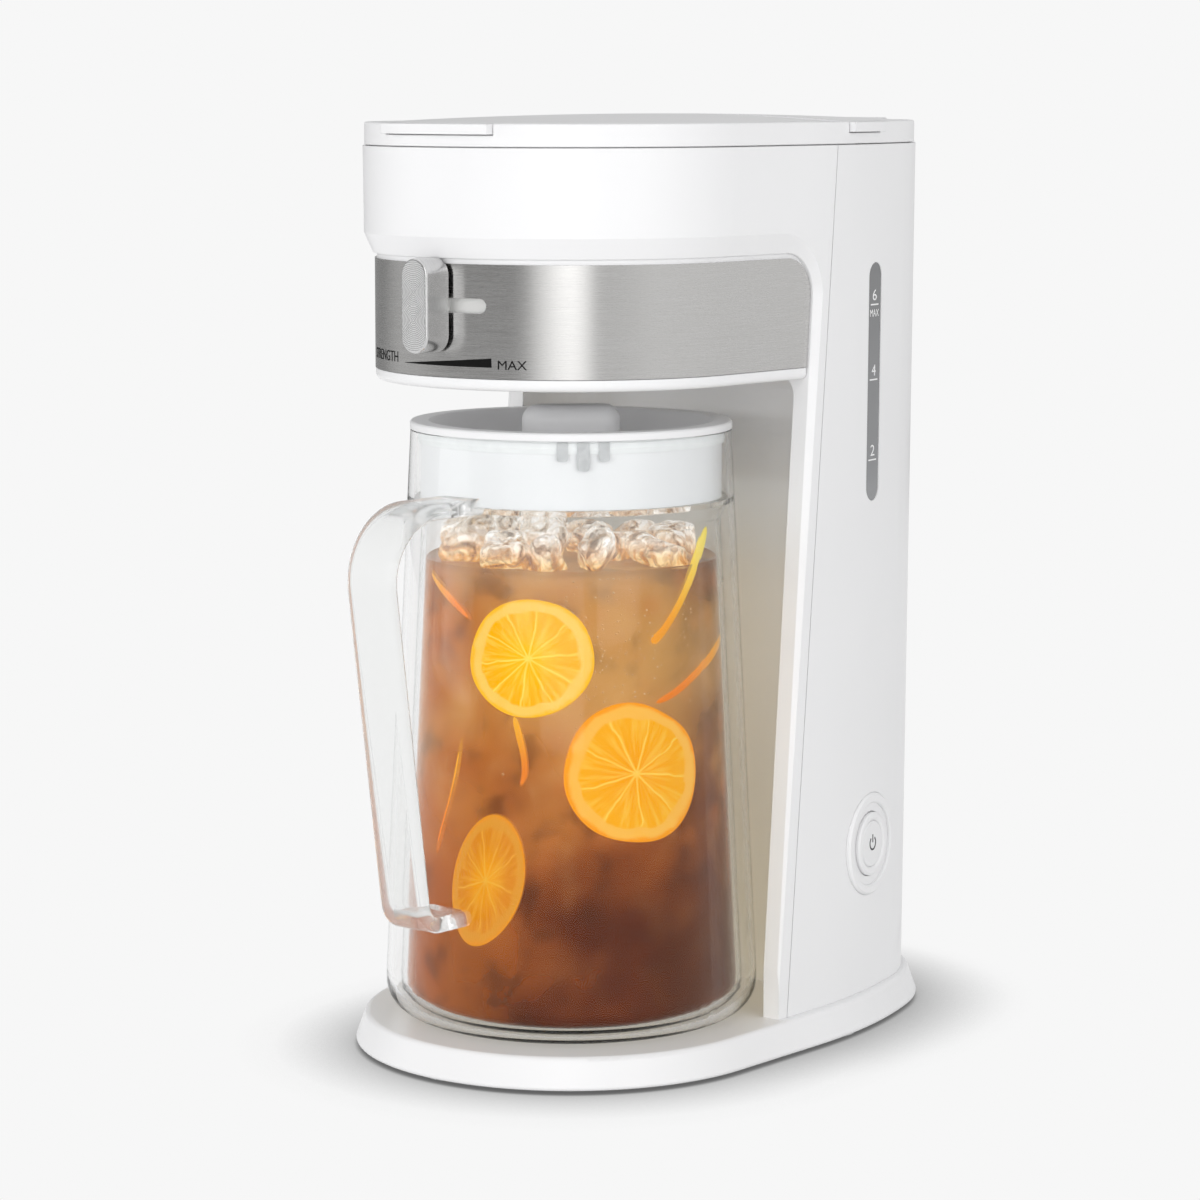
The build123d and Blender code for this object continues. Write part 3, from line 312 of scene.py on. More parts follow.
def spunMetal(name):
    # aluminium, face turned and diamond cut: fine arcs on the front, their light and dark rings a painted
    # sheen, plain polished flanks
    material, tree = newMaterial(name)
    middle = [-(low + high) / 2 for low, high in zip(*knobBox)]
    place = addNode(tree, "SeparateXYZ", {0: objectCoords(tree, location=middle)})
    high = addNode(tree, "Math", {"operation": "ABSOLUTE", 0: place.outputs["Z"]})
    # two turning centres, one in each half of the face
    far = addNode(tree, "Math", {"operation": "SUBTRACT", 0: high, 1: spun["apart"] * mm})
    level = addNode(tree, "CombineXYZ", {0: place.outputs["X"], 1: 0.0, 2: far})
    radius = addNode(tree, "VectorMath", {"operation": "LENGTH", 0: level})
    turns = addNode(tree, "Math", {
        "operation": "MULTIPLY", 0: radius, 1: 2 * math.pi * perMetre(spun["ring"])})
    wave = addNode(tree, "Math", {"operation": "SINE", 0: turns})
    bump = addNode(tree, "Bump", {"Height": wave, "Strength": 0.6, "Distance": 0.15 * mm})
    # painted sheen: the glint of the turned grooves painted into the face's colour as light and dark rings
    tone = addNode(tree, "MapRange", {**smooth, 0: wave, 1: -1.0, 2: 1.0})
    face = addNode(tree, "BsdfPrincipled", {
        "Base Color": addNode(tree, "Mix", {**colours, 0: tone, 6: spun["cut"][0], 7: spun["cut"][1]}),
        "Metallic": 0.8, "Roughness": 0.42, "Normal": bump})
    fine = addNode(tree, "TexNoise", {
        "Vector": objectCoords(tree, scale=[perMetre(size) for size in spun["grain"]]), "Scale": 1.0,
        "Detail": 2.0})
    flank = addNode(tree, "BsdfPrincipled", {
        "Base Color": addNode(tree, "ValToRGB", {"Fac": fine, "stops": list(zip((0.3, 0.7), spun["flank"]))}),
        "Metallic": 1.0, "Roughness": 0.24})
    facing = addNode(tree, "SeparateXYZ", {0: addNode(tree, "NewGeometry").outputs["Normal"]})
    front = addNode(tree, "Math", {"operation": "MULTIPLY", 0: facing.outputs["Y"], 1: -1.0})
    onFace = addNode(tree, "MapRange", {**smooth, 0: front, 1: 0.96, 2: 0.985})
    addNode(tree, "OutputMaterial", {"Surface": addNode(tree, "MixShader", {0: onFace, 1: flank, 2: face})})
    return material


knobMetal = spunMetal("aluminiumFaceTurned")


def softRubber(name, hexColour, roughness):
    # silicone or thermoplastic rubber, moulded with a matte tool: dull, slightly dusty
    material, tree = newMaterial(name)
    dust = addNode(tree, "TexNoise", {"Vector": objectCoords(tree), "Scale": perMetre(3.846), "Detail": 4.0})
    pale = tuple(min(1.0, c * 1.15 + 0.01) for c in linearColour(hexColour)[:3]) + (1.0,)
    bump = addNode(tree, "Bump", {"Height": dust, "Strength": 0.15, "Distance": 0.3 * mm})
    shader = addNode(tree, "BsdfPrincipled", {
        "Base Color": addNode(tree, "Mix", {**colours, 0: dust, 6: hexColour, 7: pale}),
        "Roughness": roughness, "IOR": 1.42, "Normal": bump})
    addNode(tree, "OutputMaterial", {"Surface": shader})
    return material


footRubber = softRubber("thermoplasticRubberMatte", "#D4D5D6", 0.7)
sealSilicone = softRubber("siliconeMouldedSeal", "#E9EAEA", 0.55)
hoseSilicone = softRubber("siliconeExtrudedHose", "#DEDFDB", 0.4)


def wovenScreen(name):
    # nylon mesh, woven and welded into a frame: a fine dark and light weave, its threads drawn farther apart
    # than real so they show. A wave texture repeats every pi / 10 units
    material, tree = newMaterial(name)
    threadGap = 1.963  # mm
    threads = addNode(tree, "TexWave", {
        "Vector": objectCoords(tree), "Scale": math.pi / 10 * perMetre(threadGap),
        "bands_direction": "DIAGONAL"}).outputs["Fac"]
    bump = addNode(tree, "Bump", {"Height": threads, "Strength": 0.5, "Distance": 0.4 * mm})
    colour = addNode(tree, "ValToRGB", {"Fac": threads, "stops": [(0.2, "#8E8A80"), (0.8, "#D9D6CE")]})
    shader = addNode(tree, "BsdfPrincipled", {"Base Color": colour, "Roughness": 0.6, "Normal": bump})
    addNode(tree, "OutputMaterial", {"Surface": shader})
    return material


meshNylon = wovenScreen("nylonMeshWoven")


smoke = {"foot": 205, "top": 305, "haze": 16.67,
         "tones": [(0.0, "#949597"), (0.45, "#7B7C7E"), (1.0, "#68696B")]}  # mm, foot to top


def smokedWindow(name):
    # acrylic strip, smoked: grey glass look, a little lighter towards its foot, glossy skin
    material, tree = newMaterial(name)
    where = objectCoords(tree)
    height = addNode(tree, "MapRange", {
        **smooth, 0: addNode(tree, "SeparateXYZ", {0: where}).outputs["Z"], 1: smoke["foot"] * mm,
        2: smoke["top"] * mm})
    haze = addNode(tree, "TexNoise", {"Vector": where, "Scale": perMetre(smoke["haze"]), "Detail": 3.0})
    colour = addNode(tree, "ValToRGB", {"Fac": height, "stops": smoke["tones"]})
    share = addNode(tree, "Math", {"operation": "MULTIPLY", 0: haze, 1: 0.12})
    shader = addNode(tree, "BsdfPrincipled", {
        "Base Color": addNode(tree, "Mix", {**colours, 0: share, 6: colour, 7: "#A8A9AA"}), "Roughness": 0.16,
        "IOR": 1.49, "Coat Weight": 0.3})
    addNode(tree, "OutputMaterial", {"Surface": shader})
    return material


windowAcrylic = smokedWindow("acrylicSmokedStrip")

materialOf = {
    "base_shell": whiteAbs, "base_cover": innerPp, "rubber_feet": footRubber, "base_screws": screwSteel,
    "tower_screws": screwSteel, "front_housing": whiteAbs, "rear_housing": whiteAbs, "cord_gland": blackNylon,
    "steel_band": bandSteel, "band_trim": whiteAbs, "top_collar": whiteAbs, "front_lid_pin": pinSteel,
    "tank_lid_pin": pinSteel, "front_lid": lidAbs, "tank_lid": lidAbs, "spray_dish": innerPp,
    "brew_chamber": innerPp, "brew_basket": innerPp, "filter_screen": meshNylon, "strength_gate": innerPp,
    "strength_knob": knobMetal, "water_tank": innerPp, "check_valve": innerPp, "inlet_hose": hoseSilicone,
    "heater": heaterMetal, "riser_hose": hoseSilicone, "hose_clamps": screwSteel, "water_spout": innerPp,
    "heater_bracket": bracketSteel, "thermostat": blackNylon, "thermal_fuse": sleeveFibre,
    "level_window": windowAcrylic, "button_bezel": whiteAbs, "button_cap": whiteAbs,
    "button_lens": lensAcrylic, "switch_board": boardLaminate, "tact_switch": blackNylon,
    "jug_body": jugClear, "jug_liner": linerClear, "jug_lid": lidAbs, "jug_lid_seal": sealSilicone,
}
for nodeName, material in materialOf.items():
    piece = cadNodes[nodeName]
    piece.data.materials.clear()
    piece.data.materials.append(material)
print("stage: materials on", len(materialOf), "nodes")


def inkMaterial(name, hexColour, roughness):
    # pad printed ink: a thin, even, slightly matte film with tiny pinholes of tone
    material, tree = newMaterial(name)
    speck = addNode(tree, "TexNoise", {
        "Vector": objectCoords(tree), "Scale": perMetre(0.3333), "Detail": 1.0})
    worn = tuple(c * 0.85 + 0.01 for c in linearColour(hexColour)[:3]) + (1.0,)
    shader = addNode(tree, "BsdfPrincipled", {
        "Base Color": addNode(tree, "Mix", {**colours, 0: speck, 6: hexColour, 7: worn}),
        "Roughness": roughness, "Specular IOR Level": 0.1})
    addNode(tree, "OutputMaterial", {"Surface": shader})
    return material


blackInk = inkMaterial("inkPadPrintBlack", "#060606", 0.7)
whiteInk = inkMaterial("inkPadPrintWhite", "#FAFAFA", 0.5)
greyInk = inkMaterial("inkPadPrintGrey", "#4A4A4C", 0.5)
filmThick = 0.06  # mm, printed film


def meshArrays(mesh):
    # a mesh's points and faces, after which the mesh is no longer needed
    points = np.empty(len(mesh.vertices) * 3)
    mesh.vertices.foreach_get("co", points)
    faces = [list(p.vertices) for p in mesh.polygons]
    bpy.data.meshes.remove(mesh)
    return points.reshape(-1, 3), faces


def letters(words, high, wide):
    # outline letters as a closed film: (x, y, h) in mm, centred on x, standing on y = 0, h from 0 to 1
    curve = bpy.data.curves.new("letters", "FONT")
    curve.body, curve.size, curve.extrude, curve.resolution_u = words, 1.0, 0.5, 6
    holder = bpy.data.objects.new("letters", curve)
    bpy.context.scene.collection.objects.link(holder)
    bpy.context.view_layer.update()
    mesh = bpy.data.meshes.new_from_object(holder.evaluated_get(bpy.context.evaluated_depsgraph_get()))
    points, faces = meshArrays(mesh)
    bpy.data.objects.remove(holder)
    bpy.data.curves.remove(curve)
    left, foot = points[:, 0].min(), points[:, 1].min()
    right, top = points[:, 0].max(), points[:, 1].max()
    points[:, 0] = (points[:, 0] - (left + right) / 2) * wide / (right - left)
    points[:, 1] = (points[:, 1] - foot) * high / (top - foot)
    points[:, 2] += 0.5
    return points, faces


def sideways(path):
    # unit vectors across a flat path, to its left
    along = np.gradient(path, axis=0)
    along /= np.linalg.norm(along, axis=1)[:, None]
    return np.stack([-along[:, 1], along[:, 0]], 1)


def ribbon(path, widths):
    # a printed line as a closed film: path points (x, y) with the width at each, carried along the path
    path = np.asarray(path, dtype=float)
    side = sideways(path) * (np.asarray(widths, dtype=float) / 2)[:, None]
    corners = ((1, 0), (-1, 0), (-1, 1), (1, 1))
    rings = [np.column_stack([path + s * side, np.full(len(path), h)]) for s, h in corners]
    points = np.stack(rings, 1).reshape(-1, 3)
    last = (len(path) - 1) * 4
    faces = gridFaces(len(path), 4).tolist() + [[0, 1, 2, 3], [last + 3, last + 2, last + 1, last]]
    return points, faces


def joined(parts):
    # several (points, faces) as one
    points, faces, count = [], [], 0
    for p, f in parts:
        points.append(p)
        faces += [[i + count for i in face] for face in f]
        count += len(p)
    return np.concatenate(points), faces


def moved(part, x, y):
    # a flat part shifted across and up, in mm
    return part[0] + np.array([x, y, 0]), part[1]


def upright(heights):
    # points on the y axis
    return np.stack([np.zeros(len(heights)), heights], 1)


bandPrint = {
    "radius": 75.3, "strengthAngle": -28.9, "strengthFoot": 268.1, "strengthSize": (4.0, 27.0),
    "wedgeAngles": (-14.6, 18.0), "wedgeFoot": 268.2, "wedgeHigh": (0.15, 3.4),
    "maxAngle": 24.2, "maxFoot": 267.6, "maxSize": (3.3, 11.2)}


def onBand(part, angle, foot):
    # x runs round the band, y up it, h out of it
    p, r = part[0], bandPrint["radius"] + part[0][:, 2] * filmThick
    a = math.radians(angle) + p[:, 0] / bandPrint["radius"]
    return toRow(roundAxis(r, a, foot + p[:, 1])), part[1]


wedgeFrom, wedgeTo = (math.radians(a) * bandPrint["radius"] for a in bandPrint["wedgeAngles"])
wedgeWidth = np.linspace(*bandPrint["wedgeHigh"], 30)
wedge = ribbon(np.stack([np.linspace(wedgeFrom, wedgeTo, 30), wedgeWidth / 2], 1), wedgeWidth)
word = letters("STRENGTH", *bandPrint["strengthSize"])
most = letters("MAX", *bandPrint["maxSize"])
bandMarks = {
    "strength_word": onBand(word, bandPrint["strengthAngle"], bandPrint["strengthFoot"]),
    "strength_wedge": onBand(wedge, 0, bandPrint["wedgeFoot"]),
    "strength_most": onBand(most, bandPrint["maxAngle"], bandPrint["maxFoot"]),
}
for name, (points, faces) in bandMarks.items():
    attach(meshObject(name, points, faces, blackInk, rounded=False, outward=True), "housing")

windowPrint = {
    "centreX": -180.3, "centreY": 50.0, "radius": 259.65, "draft": 2.9, "high": 348.6, "low": 12.0, "y": 95.0,
    "numberSize": (4.3, 3.4), "numberGap": 1.6, "tickWide": 6.6, "tickThick": 0.55,
    "ticks": {"6": 286.1, "4": 256.6, "2": 225.0}, "maxFoot": 281.4, "maxSize": (2.8, 7.4)}


def onWindow(part):
    # x runs back along the window, y is the height above the base, h out of it: an upright arc of the
    # housing's side, drawn in by its draft towards its foot
    p, w = part[0], windowPrint
    z, y = p[:, 1], w["y"] + p[:, 0]
    inset = w["draft"] * (w["high"] - z) / (w["high"] - w["low"])
    r = w["radius"] - inset + p[:, 2] * filmThick
    x = w["centreX"] + np.sqrt(r ** 2 - (y - w["centreY"]) ** 2)
    return toRow(np.stack([x, y, z], 1)), part[1]


tickX = np.linspace(-0.5, 0.5, 9) * windowPrint["tickWide"]
tick = ribbon(np.stack([tickX, np.zeros(9)], 1), [windowPrint["tickThick"]] * 9)
numberParts, tickParts = [], []
for number, height in windowPrint["ticks"].items():
    digit = letters(number, *windowPrint["numberSize"])
    numberParts.append(moved(digit, 0, height + windowPrint["numberGap"]))
    tickParts.append(moved(tick, 0, height))
numberParts.append(moved(letters("MAX", *windowPrint["maxSize"]), 0, windowPrint["maxFoot"]))
for name, parts in {"window_numbers": numberParts, "window_ticks": tickParts}.items():
    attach(meshObject(name, *onWindow(joined(parts)), whiteInk, rounded=False, outward=True), "housing")

symbol = {"outward": (0.982487, 0.186329, 0.0), "lensNarrower": 1.2, "ringRadius": 2.55, "stroke": 0.75,
          "gap": 38.0, "bar": (0.3, 3.5), "lift": 0.3}


def onLens(part):
    # x runs back across the lens, y up it, h out of its front, which is found from the lens's box: half its x
    # size, less what its turned width takes of that
    low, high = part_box("button_lens")
    n = np.array(symbol["outward"])
    along = np.array([-n[1], n[0], 0])
    centre = (np.array(low) + np.array(high)) / 2
    halfWide = (high[2] - low[2] - symbol["lensNarrower"] * mm) / 2
    reach = (high[0] - centre[0]) - abs(along[0]) * halfWide
    p = part[0]
    points = centre + np.outer(np.full(len(p), reach) / n[0] + p[:, 2] * filmThick * mm, n)
    points += np.outer(p[:, 0] * mm, along) + np.outer((p[:, 1] + symbol["lift"]) * mm, (0, 0, 1))
    return points, part[1]


turn = np.radians(np.linspace(90 + symbol["gap"], 450 - symbol["gap"], 60))
ring = ribbon(symbol["ringRadius"] * np.stack([np.cos(turn), np.sin(turn)], 1), [symbol["stroke"]] * 60)
bar = ribbon(upright(np.linspace(*symbol["bar"], 6)), [symbol["stroke"]] * 6)
points, faces = onLens(joined([ring, bar]))
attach(meshObject("power_symbol", points, faces, greyInk, rounded=False, outward=True), "power_button")
print("stage: printed marks")

lockTabs = {"azimuth": 45.2, "radius": 59.5, "top": 239.3, "wallGap": 0.06, "thick": 0.12,
            "tabs": [(-7.8, 4.1, 6.9), (0.0, 4.5, 10.4), (7.8, 4.1, 6.9)]}


def rimTab(across, wide, high):
    # a film hanging from the rim: straight sides, then a foot 0.3 of its width high, narrowed by an oval
    foot = wide * 0.3
    turn = np.linspace(0.2, np.pi / 2, 8)
    down = np.concatenate([np.linspace(0, high - foot, 6), high - foot * (1 - np.sin(turn))])
    left = np.clip((down - (high - foot)) / foot, 0, 1)
    width = wide * (0.45 + 0.55 * np.sqrt(np.clip(1 - left ** 2, 0.0, 1)))
    return moved(ribbon(upright(-down), width), across, 0)


def tabFilm(name):
    # the lid's lock, moulded in the rim of clear plastic: flat, slightly clouded grey shapes whose grey is
    # painted shade, standing for the shade seen through the slots below the lid
    material, tree = newMaterial(name)
    cloud = addNode(tree, "TexNoise", {"Vector": objectCoords(tree), "Scale": perMetre(2.0), "Detail": 2.0})
    colour = addNode(tree, "ValToRGB", {"Fac": cloud, "stops": [(0.35, "#B9BABB"), (0.65, "#C9CACB")]})
    shader = addNode(tree, "BsdfPrincipled", {"Base Color": colour, "Roughness": 0.3})
    addNode(tree, "OutputMaterial", {"Surface": shader})
    return material


def onRim(part):
    # x runs round the jug, y up from the tabs' top, h inwards from the wall's inside face
    p, t = part[0], lockTabs
    z = t["top"] + p[:, 1]
    inside = jugWall["radius"] - jugWall["taper"] * z - jugWall["thick"]
    r = inside - t["wallGap"] - t["thick"] * (1 - p[:, 2])
    a = math.radians(t["azimuth"]) + p[:, 0] / t["radius"]
    return toRow(roundAxis(r, a, z)), part[1]


points, faces = onRim(joined([rimTab(*tab) for tab in lockTabs["tabs"]]))
tabPaintedShade = tabFilm("lockTabsPaintedShade")
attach(meshObject("jug_lock_tabs_painted_shade", points, faces, tabPaintedShade, rounded=False, outward=True), "jug")

# inside of the liner in mm, heights above the base; its walls stand inside the radii by the inset
liner = {"floor": 16.7, "bellyZ": 28.0, "rimZ": 239.8, "rimRadius": 62.0, "bellyRadius": 72.5, "inset": 7.8,
         "corner": 8.1}


def linerRadius(z):
    # a straight taper from belly to rim, upright below and above
    share = np.clip((liner["rimZ"] - z) / (liner["rimZ"] - liner["bellyZ"]), 0, 1)
    return liner["rimRadius"] + share * (liner["bellyRadius"] - liner["rimRadius"]) - liner["inset"]


def turnedMesh(profile, steps):
    # the profile (radius, z) turned about the jug's axis, closed by one point at each pole
    poles = [[0, 0, profile[0][1]], [0, 0, profile[-1][1]]]
    return np.concatenate([turnedGrid(profile[1:-1], steps), poles]), closedFaces(len(profile) - 2, steps)


# sides and sideShare place the painted light and shade across the jug
tea = {"level": 190.0, "shellGap": 0.35, "coreGap": 1.3, "coreLower": 1.2, "meniscus": 0.9,
       "meniscusReach": 1.4, "acrossTurn": 41, "sides": {"left": (-12, -55), "right": (20, 55)},
       "sideShare": 0.75, "shadeHeights": (18, 192), "glow": 0.20}  # mm, degrees


def teaProfile(gap, level, meniscus):
    # floor, rounded foot, tapered wall, then the surface, whose raised edge dies away inwards
    belly = liner["bellyRadius"] - liner["inset"]
    corner = liner["corner"]
    turn = np.linspace(-np.pi / 2, 0, 9)
    foot = np.stack([belly - corner + (corner - gap) * np.cos(turn),
                     liner["floor"] + corner + (corner - gap) * np.sin(turn)], 1)
    z = np.linspace(liner["bellyZ"], level + meniscus, 24)
    wall = np.stack([linerRadius(z) - gap, z], 1)
    reach = np.array([0.4, 1.0, 2.0, 4.0, 8.0, 20.0, 40.0])
    edge = linerRadius(level) - gap
    surface = np.stack([edge - reach, level + meniscus * np.exp(-reach / tea["meniscusReach"])], 1)
    floor = np.stack([np.array([0.0, 20.0, 40.0]), np.full(3, liner["floor"] + gap)], 1)
    return np.concatenate([floor, foot, wall, surface, [[0, level]]])


def brewedTea(name, look):
    # brewed tea, cloudy with pulp: amber haze at the top, red brown in its foot, soft blots of 17 mm spacing,
    # with painted light and shade on its two sides
    material, tree = newMaterial(name)
    where = objectCoords(tree, location=(0, -jugAxisY, 0))
    foot, top = tea["shadeHeights"]
    height = addNode(tree, "MapRange", {
        0: addNode(tree, "SeparateXYZ", {0: where}).outputs["Z"], 1: foot * mm, 2: top * mm})
    warp = addNode(tree, "TexNoise", {"Vector": where, "Scale": perMetre(45.45), "Detail": 2.0})
    sway = addNode(tree, "MapRange", {**smooth, 0: warp, 1: 0.3, 2: 0.7, 3: -0.12, 4: 0.12})
    shifted = addNode(tree, "Math", {"operation": "ADD", 0: height, 1: sway})
    colour = addNode(tree, "ValToRGB", {"Fac": shifted, "stops": look["stops"]})

    # painted light and shade along a level line across the jug, square to the camera's view: one side redder,
    # painted light, and the other darker, painted shade
    turn = math.radians(tea["acrossTurn"])
    across = addNode(tree, "VectorMath", {
        "operation": "DOT_PRODUCT", 0: where, 1: (math.cos(turn), math.sin(turn), 0)})
    for side, (start, end) in tea["sides"].items():
        share = addNode(tree, "MapRange", {
            **smooth, 0: across, 1: start * mm, 2: end * mm, 4: tea["sideShare"]})
        colour = addNode(tree, "Mix", {**colours, 0: share, 6: colour, 7: look[side]})

    # pale and dark blots, then round lumps of pulp, most of them high up, and haze above
    blots = addNode(tree, "TexNoise", {
        "Vector": where, "Scale": perMetre(17.24), "Detail": 3.5, "Roughness": 0.5, "Distortion": 0.2})
    pulp = addNode(tree, "TexVoronoi", {
        "feature": "SMOOTH_F1", "Vector": where, "Scale": perMetre(14.29), "Smoothness": 0.7})
    cloud = addNode(tree, "TexNoise", {"Vector": where, "Scale": perMetre(62.5), "Detail": 2.0})
    pale = addNode(tree, "MapRange", {**smooth, 0: blots, 1: 0.50, 2: 0.74, 4: 0.38})
    dark = addNode(tree, "MapRange", {**smooth, 0: blots, 1: 0.50, 2: 0.30, 4: 0.55})
    lumps = addNode(tree, "MapRange", {**smooth, 0: pulp, 1: 0.42, 2: 0.15})
    haze = addNode(tree, "MapRange", {**smooth, 0: cloud, 1: 0.40, 2: 0.62, 4: look["haze"]})
    palest = addNode(tree, "MapRange", {**smooth, 0: height, 1: 0.25, 2: 0.55, 3: 0.12})
    lumpiest = addNode(tree, "MapRange", {**smooth, 0: height, 1: 0.25, 2: 0.5, 4: 0.26})
    haziest = addNode(tree, "MapRange", {**smooth, 0: height, 1: 0.35, 2: 0.8})
    for amount, higher, tone in ((pale, palest, "#D69A5E"), (dark, 1.0, "#4E2612"),
                                 (lumps, lumpiest, "#C8763A"), (haze, haziest, "#D0A468")):
        share = addNode(tree, "Math", {"operation": "MULTIPLY", 0: amount, 1: higher})
        colour = addNode(tree, "Mix", {**colours, 0: share, 6: colour, 7: tone})
    # painted glow: the tea's own colour given off as emission, standing in for light carried through the
    # cloud
    settings = {"Base Color": colour, "Roughness": look["roughness"], "IOR": 1.34, "Specular IOR Level": 0.05,
                "Emission Color": colour, "Emission Strength": tea["glow"]}  # light carried through the cloud
    if look["cover"]:
        facing = addNode(tree, "LayerWeight", {"Blend": 0.5}).outputs["Facing"]
        edge = addNode(tree, "MapRange", {**smooth, 0: facing, 1: 0.45, 2: 0.85})
        low, high = look["cover"]
        clouded = addNode(tree, "MapRange", {**smooth, 0: cloud, 1: 0.35, 2: 0.65, 3: low, 4: high})
        settings["Alpha"] = addNode(tree, "Math", {"operation": "MAXIMUM", 0: edge, 1: clouded})
    shader = addNode(tree, "BsdfPrincipled", settings)
    addNode(tree, "OutputMaterial", {"Surface": lampsPass(tree, shader, (0.95, 0.90, 0.82, 1.0))})
    return material


# left and right are the tea's two painted sides: the redder one painted light, the darker one painted shade
teaLooks = {
    "teaCloudyShell": {
        "stops": [(0.0, "#3A1406"), (0.14, "#5E270E"), (0.34, "#A4561F"), (0.58, "#C47C38"),
                  (0.85, "#C68C48"), (1.0, "#BC8040")],
        "left": "#B26424", "right": "#60300F", "haze": 0.42, "cover": (0.45, 0.85), "roughness": 0.2},
    "teaCloudyDeep": {
        "stops": [(0.0, "#2C0E04"), (0.25, "#622A0E"), (0.6, "#A45C24"), (1.0, "#B87634")],
        "left": "#B65C20", "right": "#5C3014", "haze": 0.25, "cover": None, "roughness": 0.5},
}
teaShell, teaDeep = (brewedTea(name, look) for name, look in teaLooks.items())
shellPoints, shellFaces = turnedMesh(teaProfile(tea["shellGap"], tea["level"], tea["meniscus"]), 160)
corePoints, coreFaces = turnedMesh(teaProfile(tea["coreGap"], tea["level"] - tea["coreLower"], 0.0), 96)
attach(meshObject("tea", toRow(shellPoints), shellFaces, teaShell, outward=True), "jug")
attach(meshObject("tea_depth", toRow(corePoints), coreFaces, teaDeep, outward=True), "jug")
print("stage: tea")


lemonTones = {
    "lemonCutBright": {"rind": "#F9B824", "pith": "#F2C45C", "core": "#F8B800", "pulp": "#F4AC06",
                       "membrane": "#FFDC62", "segments": 10, "dim": 0.0},
    "lemonCutWarm": {"rind": "#F5961A", "pith": "#F4B44A", "core": "#F29C06", "pulp": "#F2A40A",
                     "membrane": "#FFD05A", "segments": 9, "dim": 0.0},
    "lemonCutInTea": {"rind": "#E8921E", "pith": "#E0962E", "core": "#F29E10", "pulp": "#DC8410",
                      "membrane": "#F0B440", "segments": 9, "dim": 0.10},
}


# glow is the strength of a painted glow on the slices' cut face
flesh = {"streaks": 9, "streakOut": 2.2, "soft": 2.4, "wall": (0.018, 0.005), "pith": (0.76, 0.80),
         "rind": (0.90, 0.97), "glow": 0.22, "tea": "#9A5A24"}  # places in shares of the slice's radius


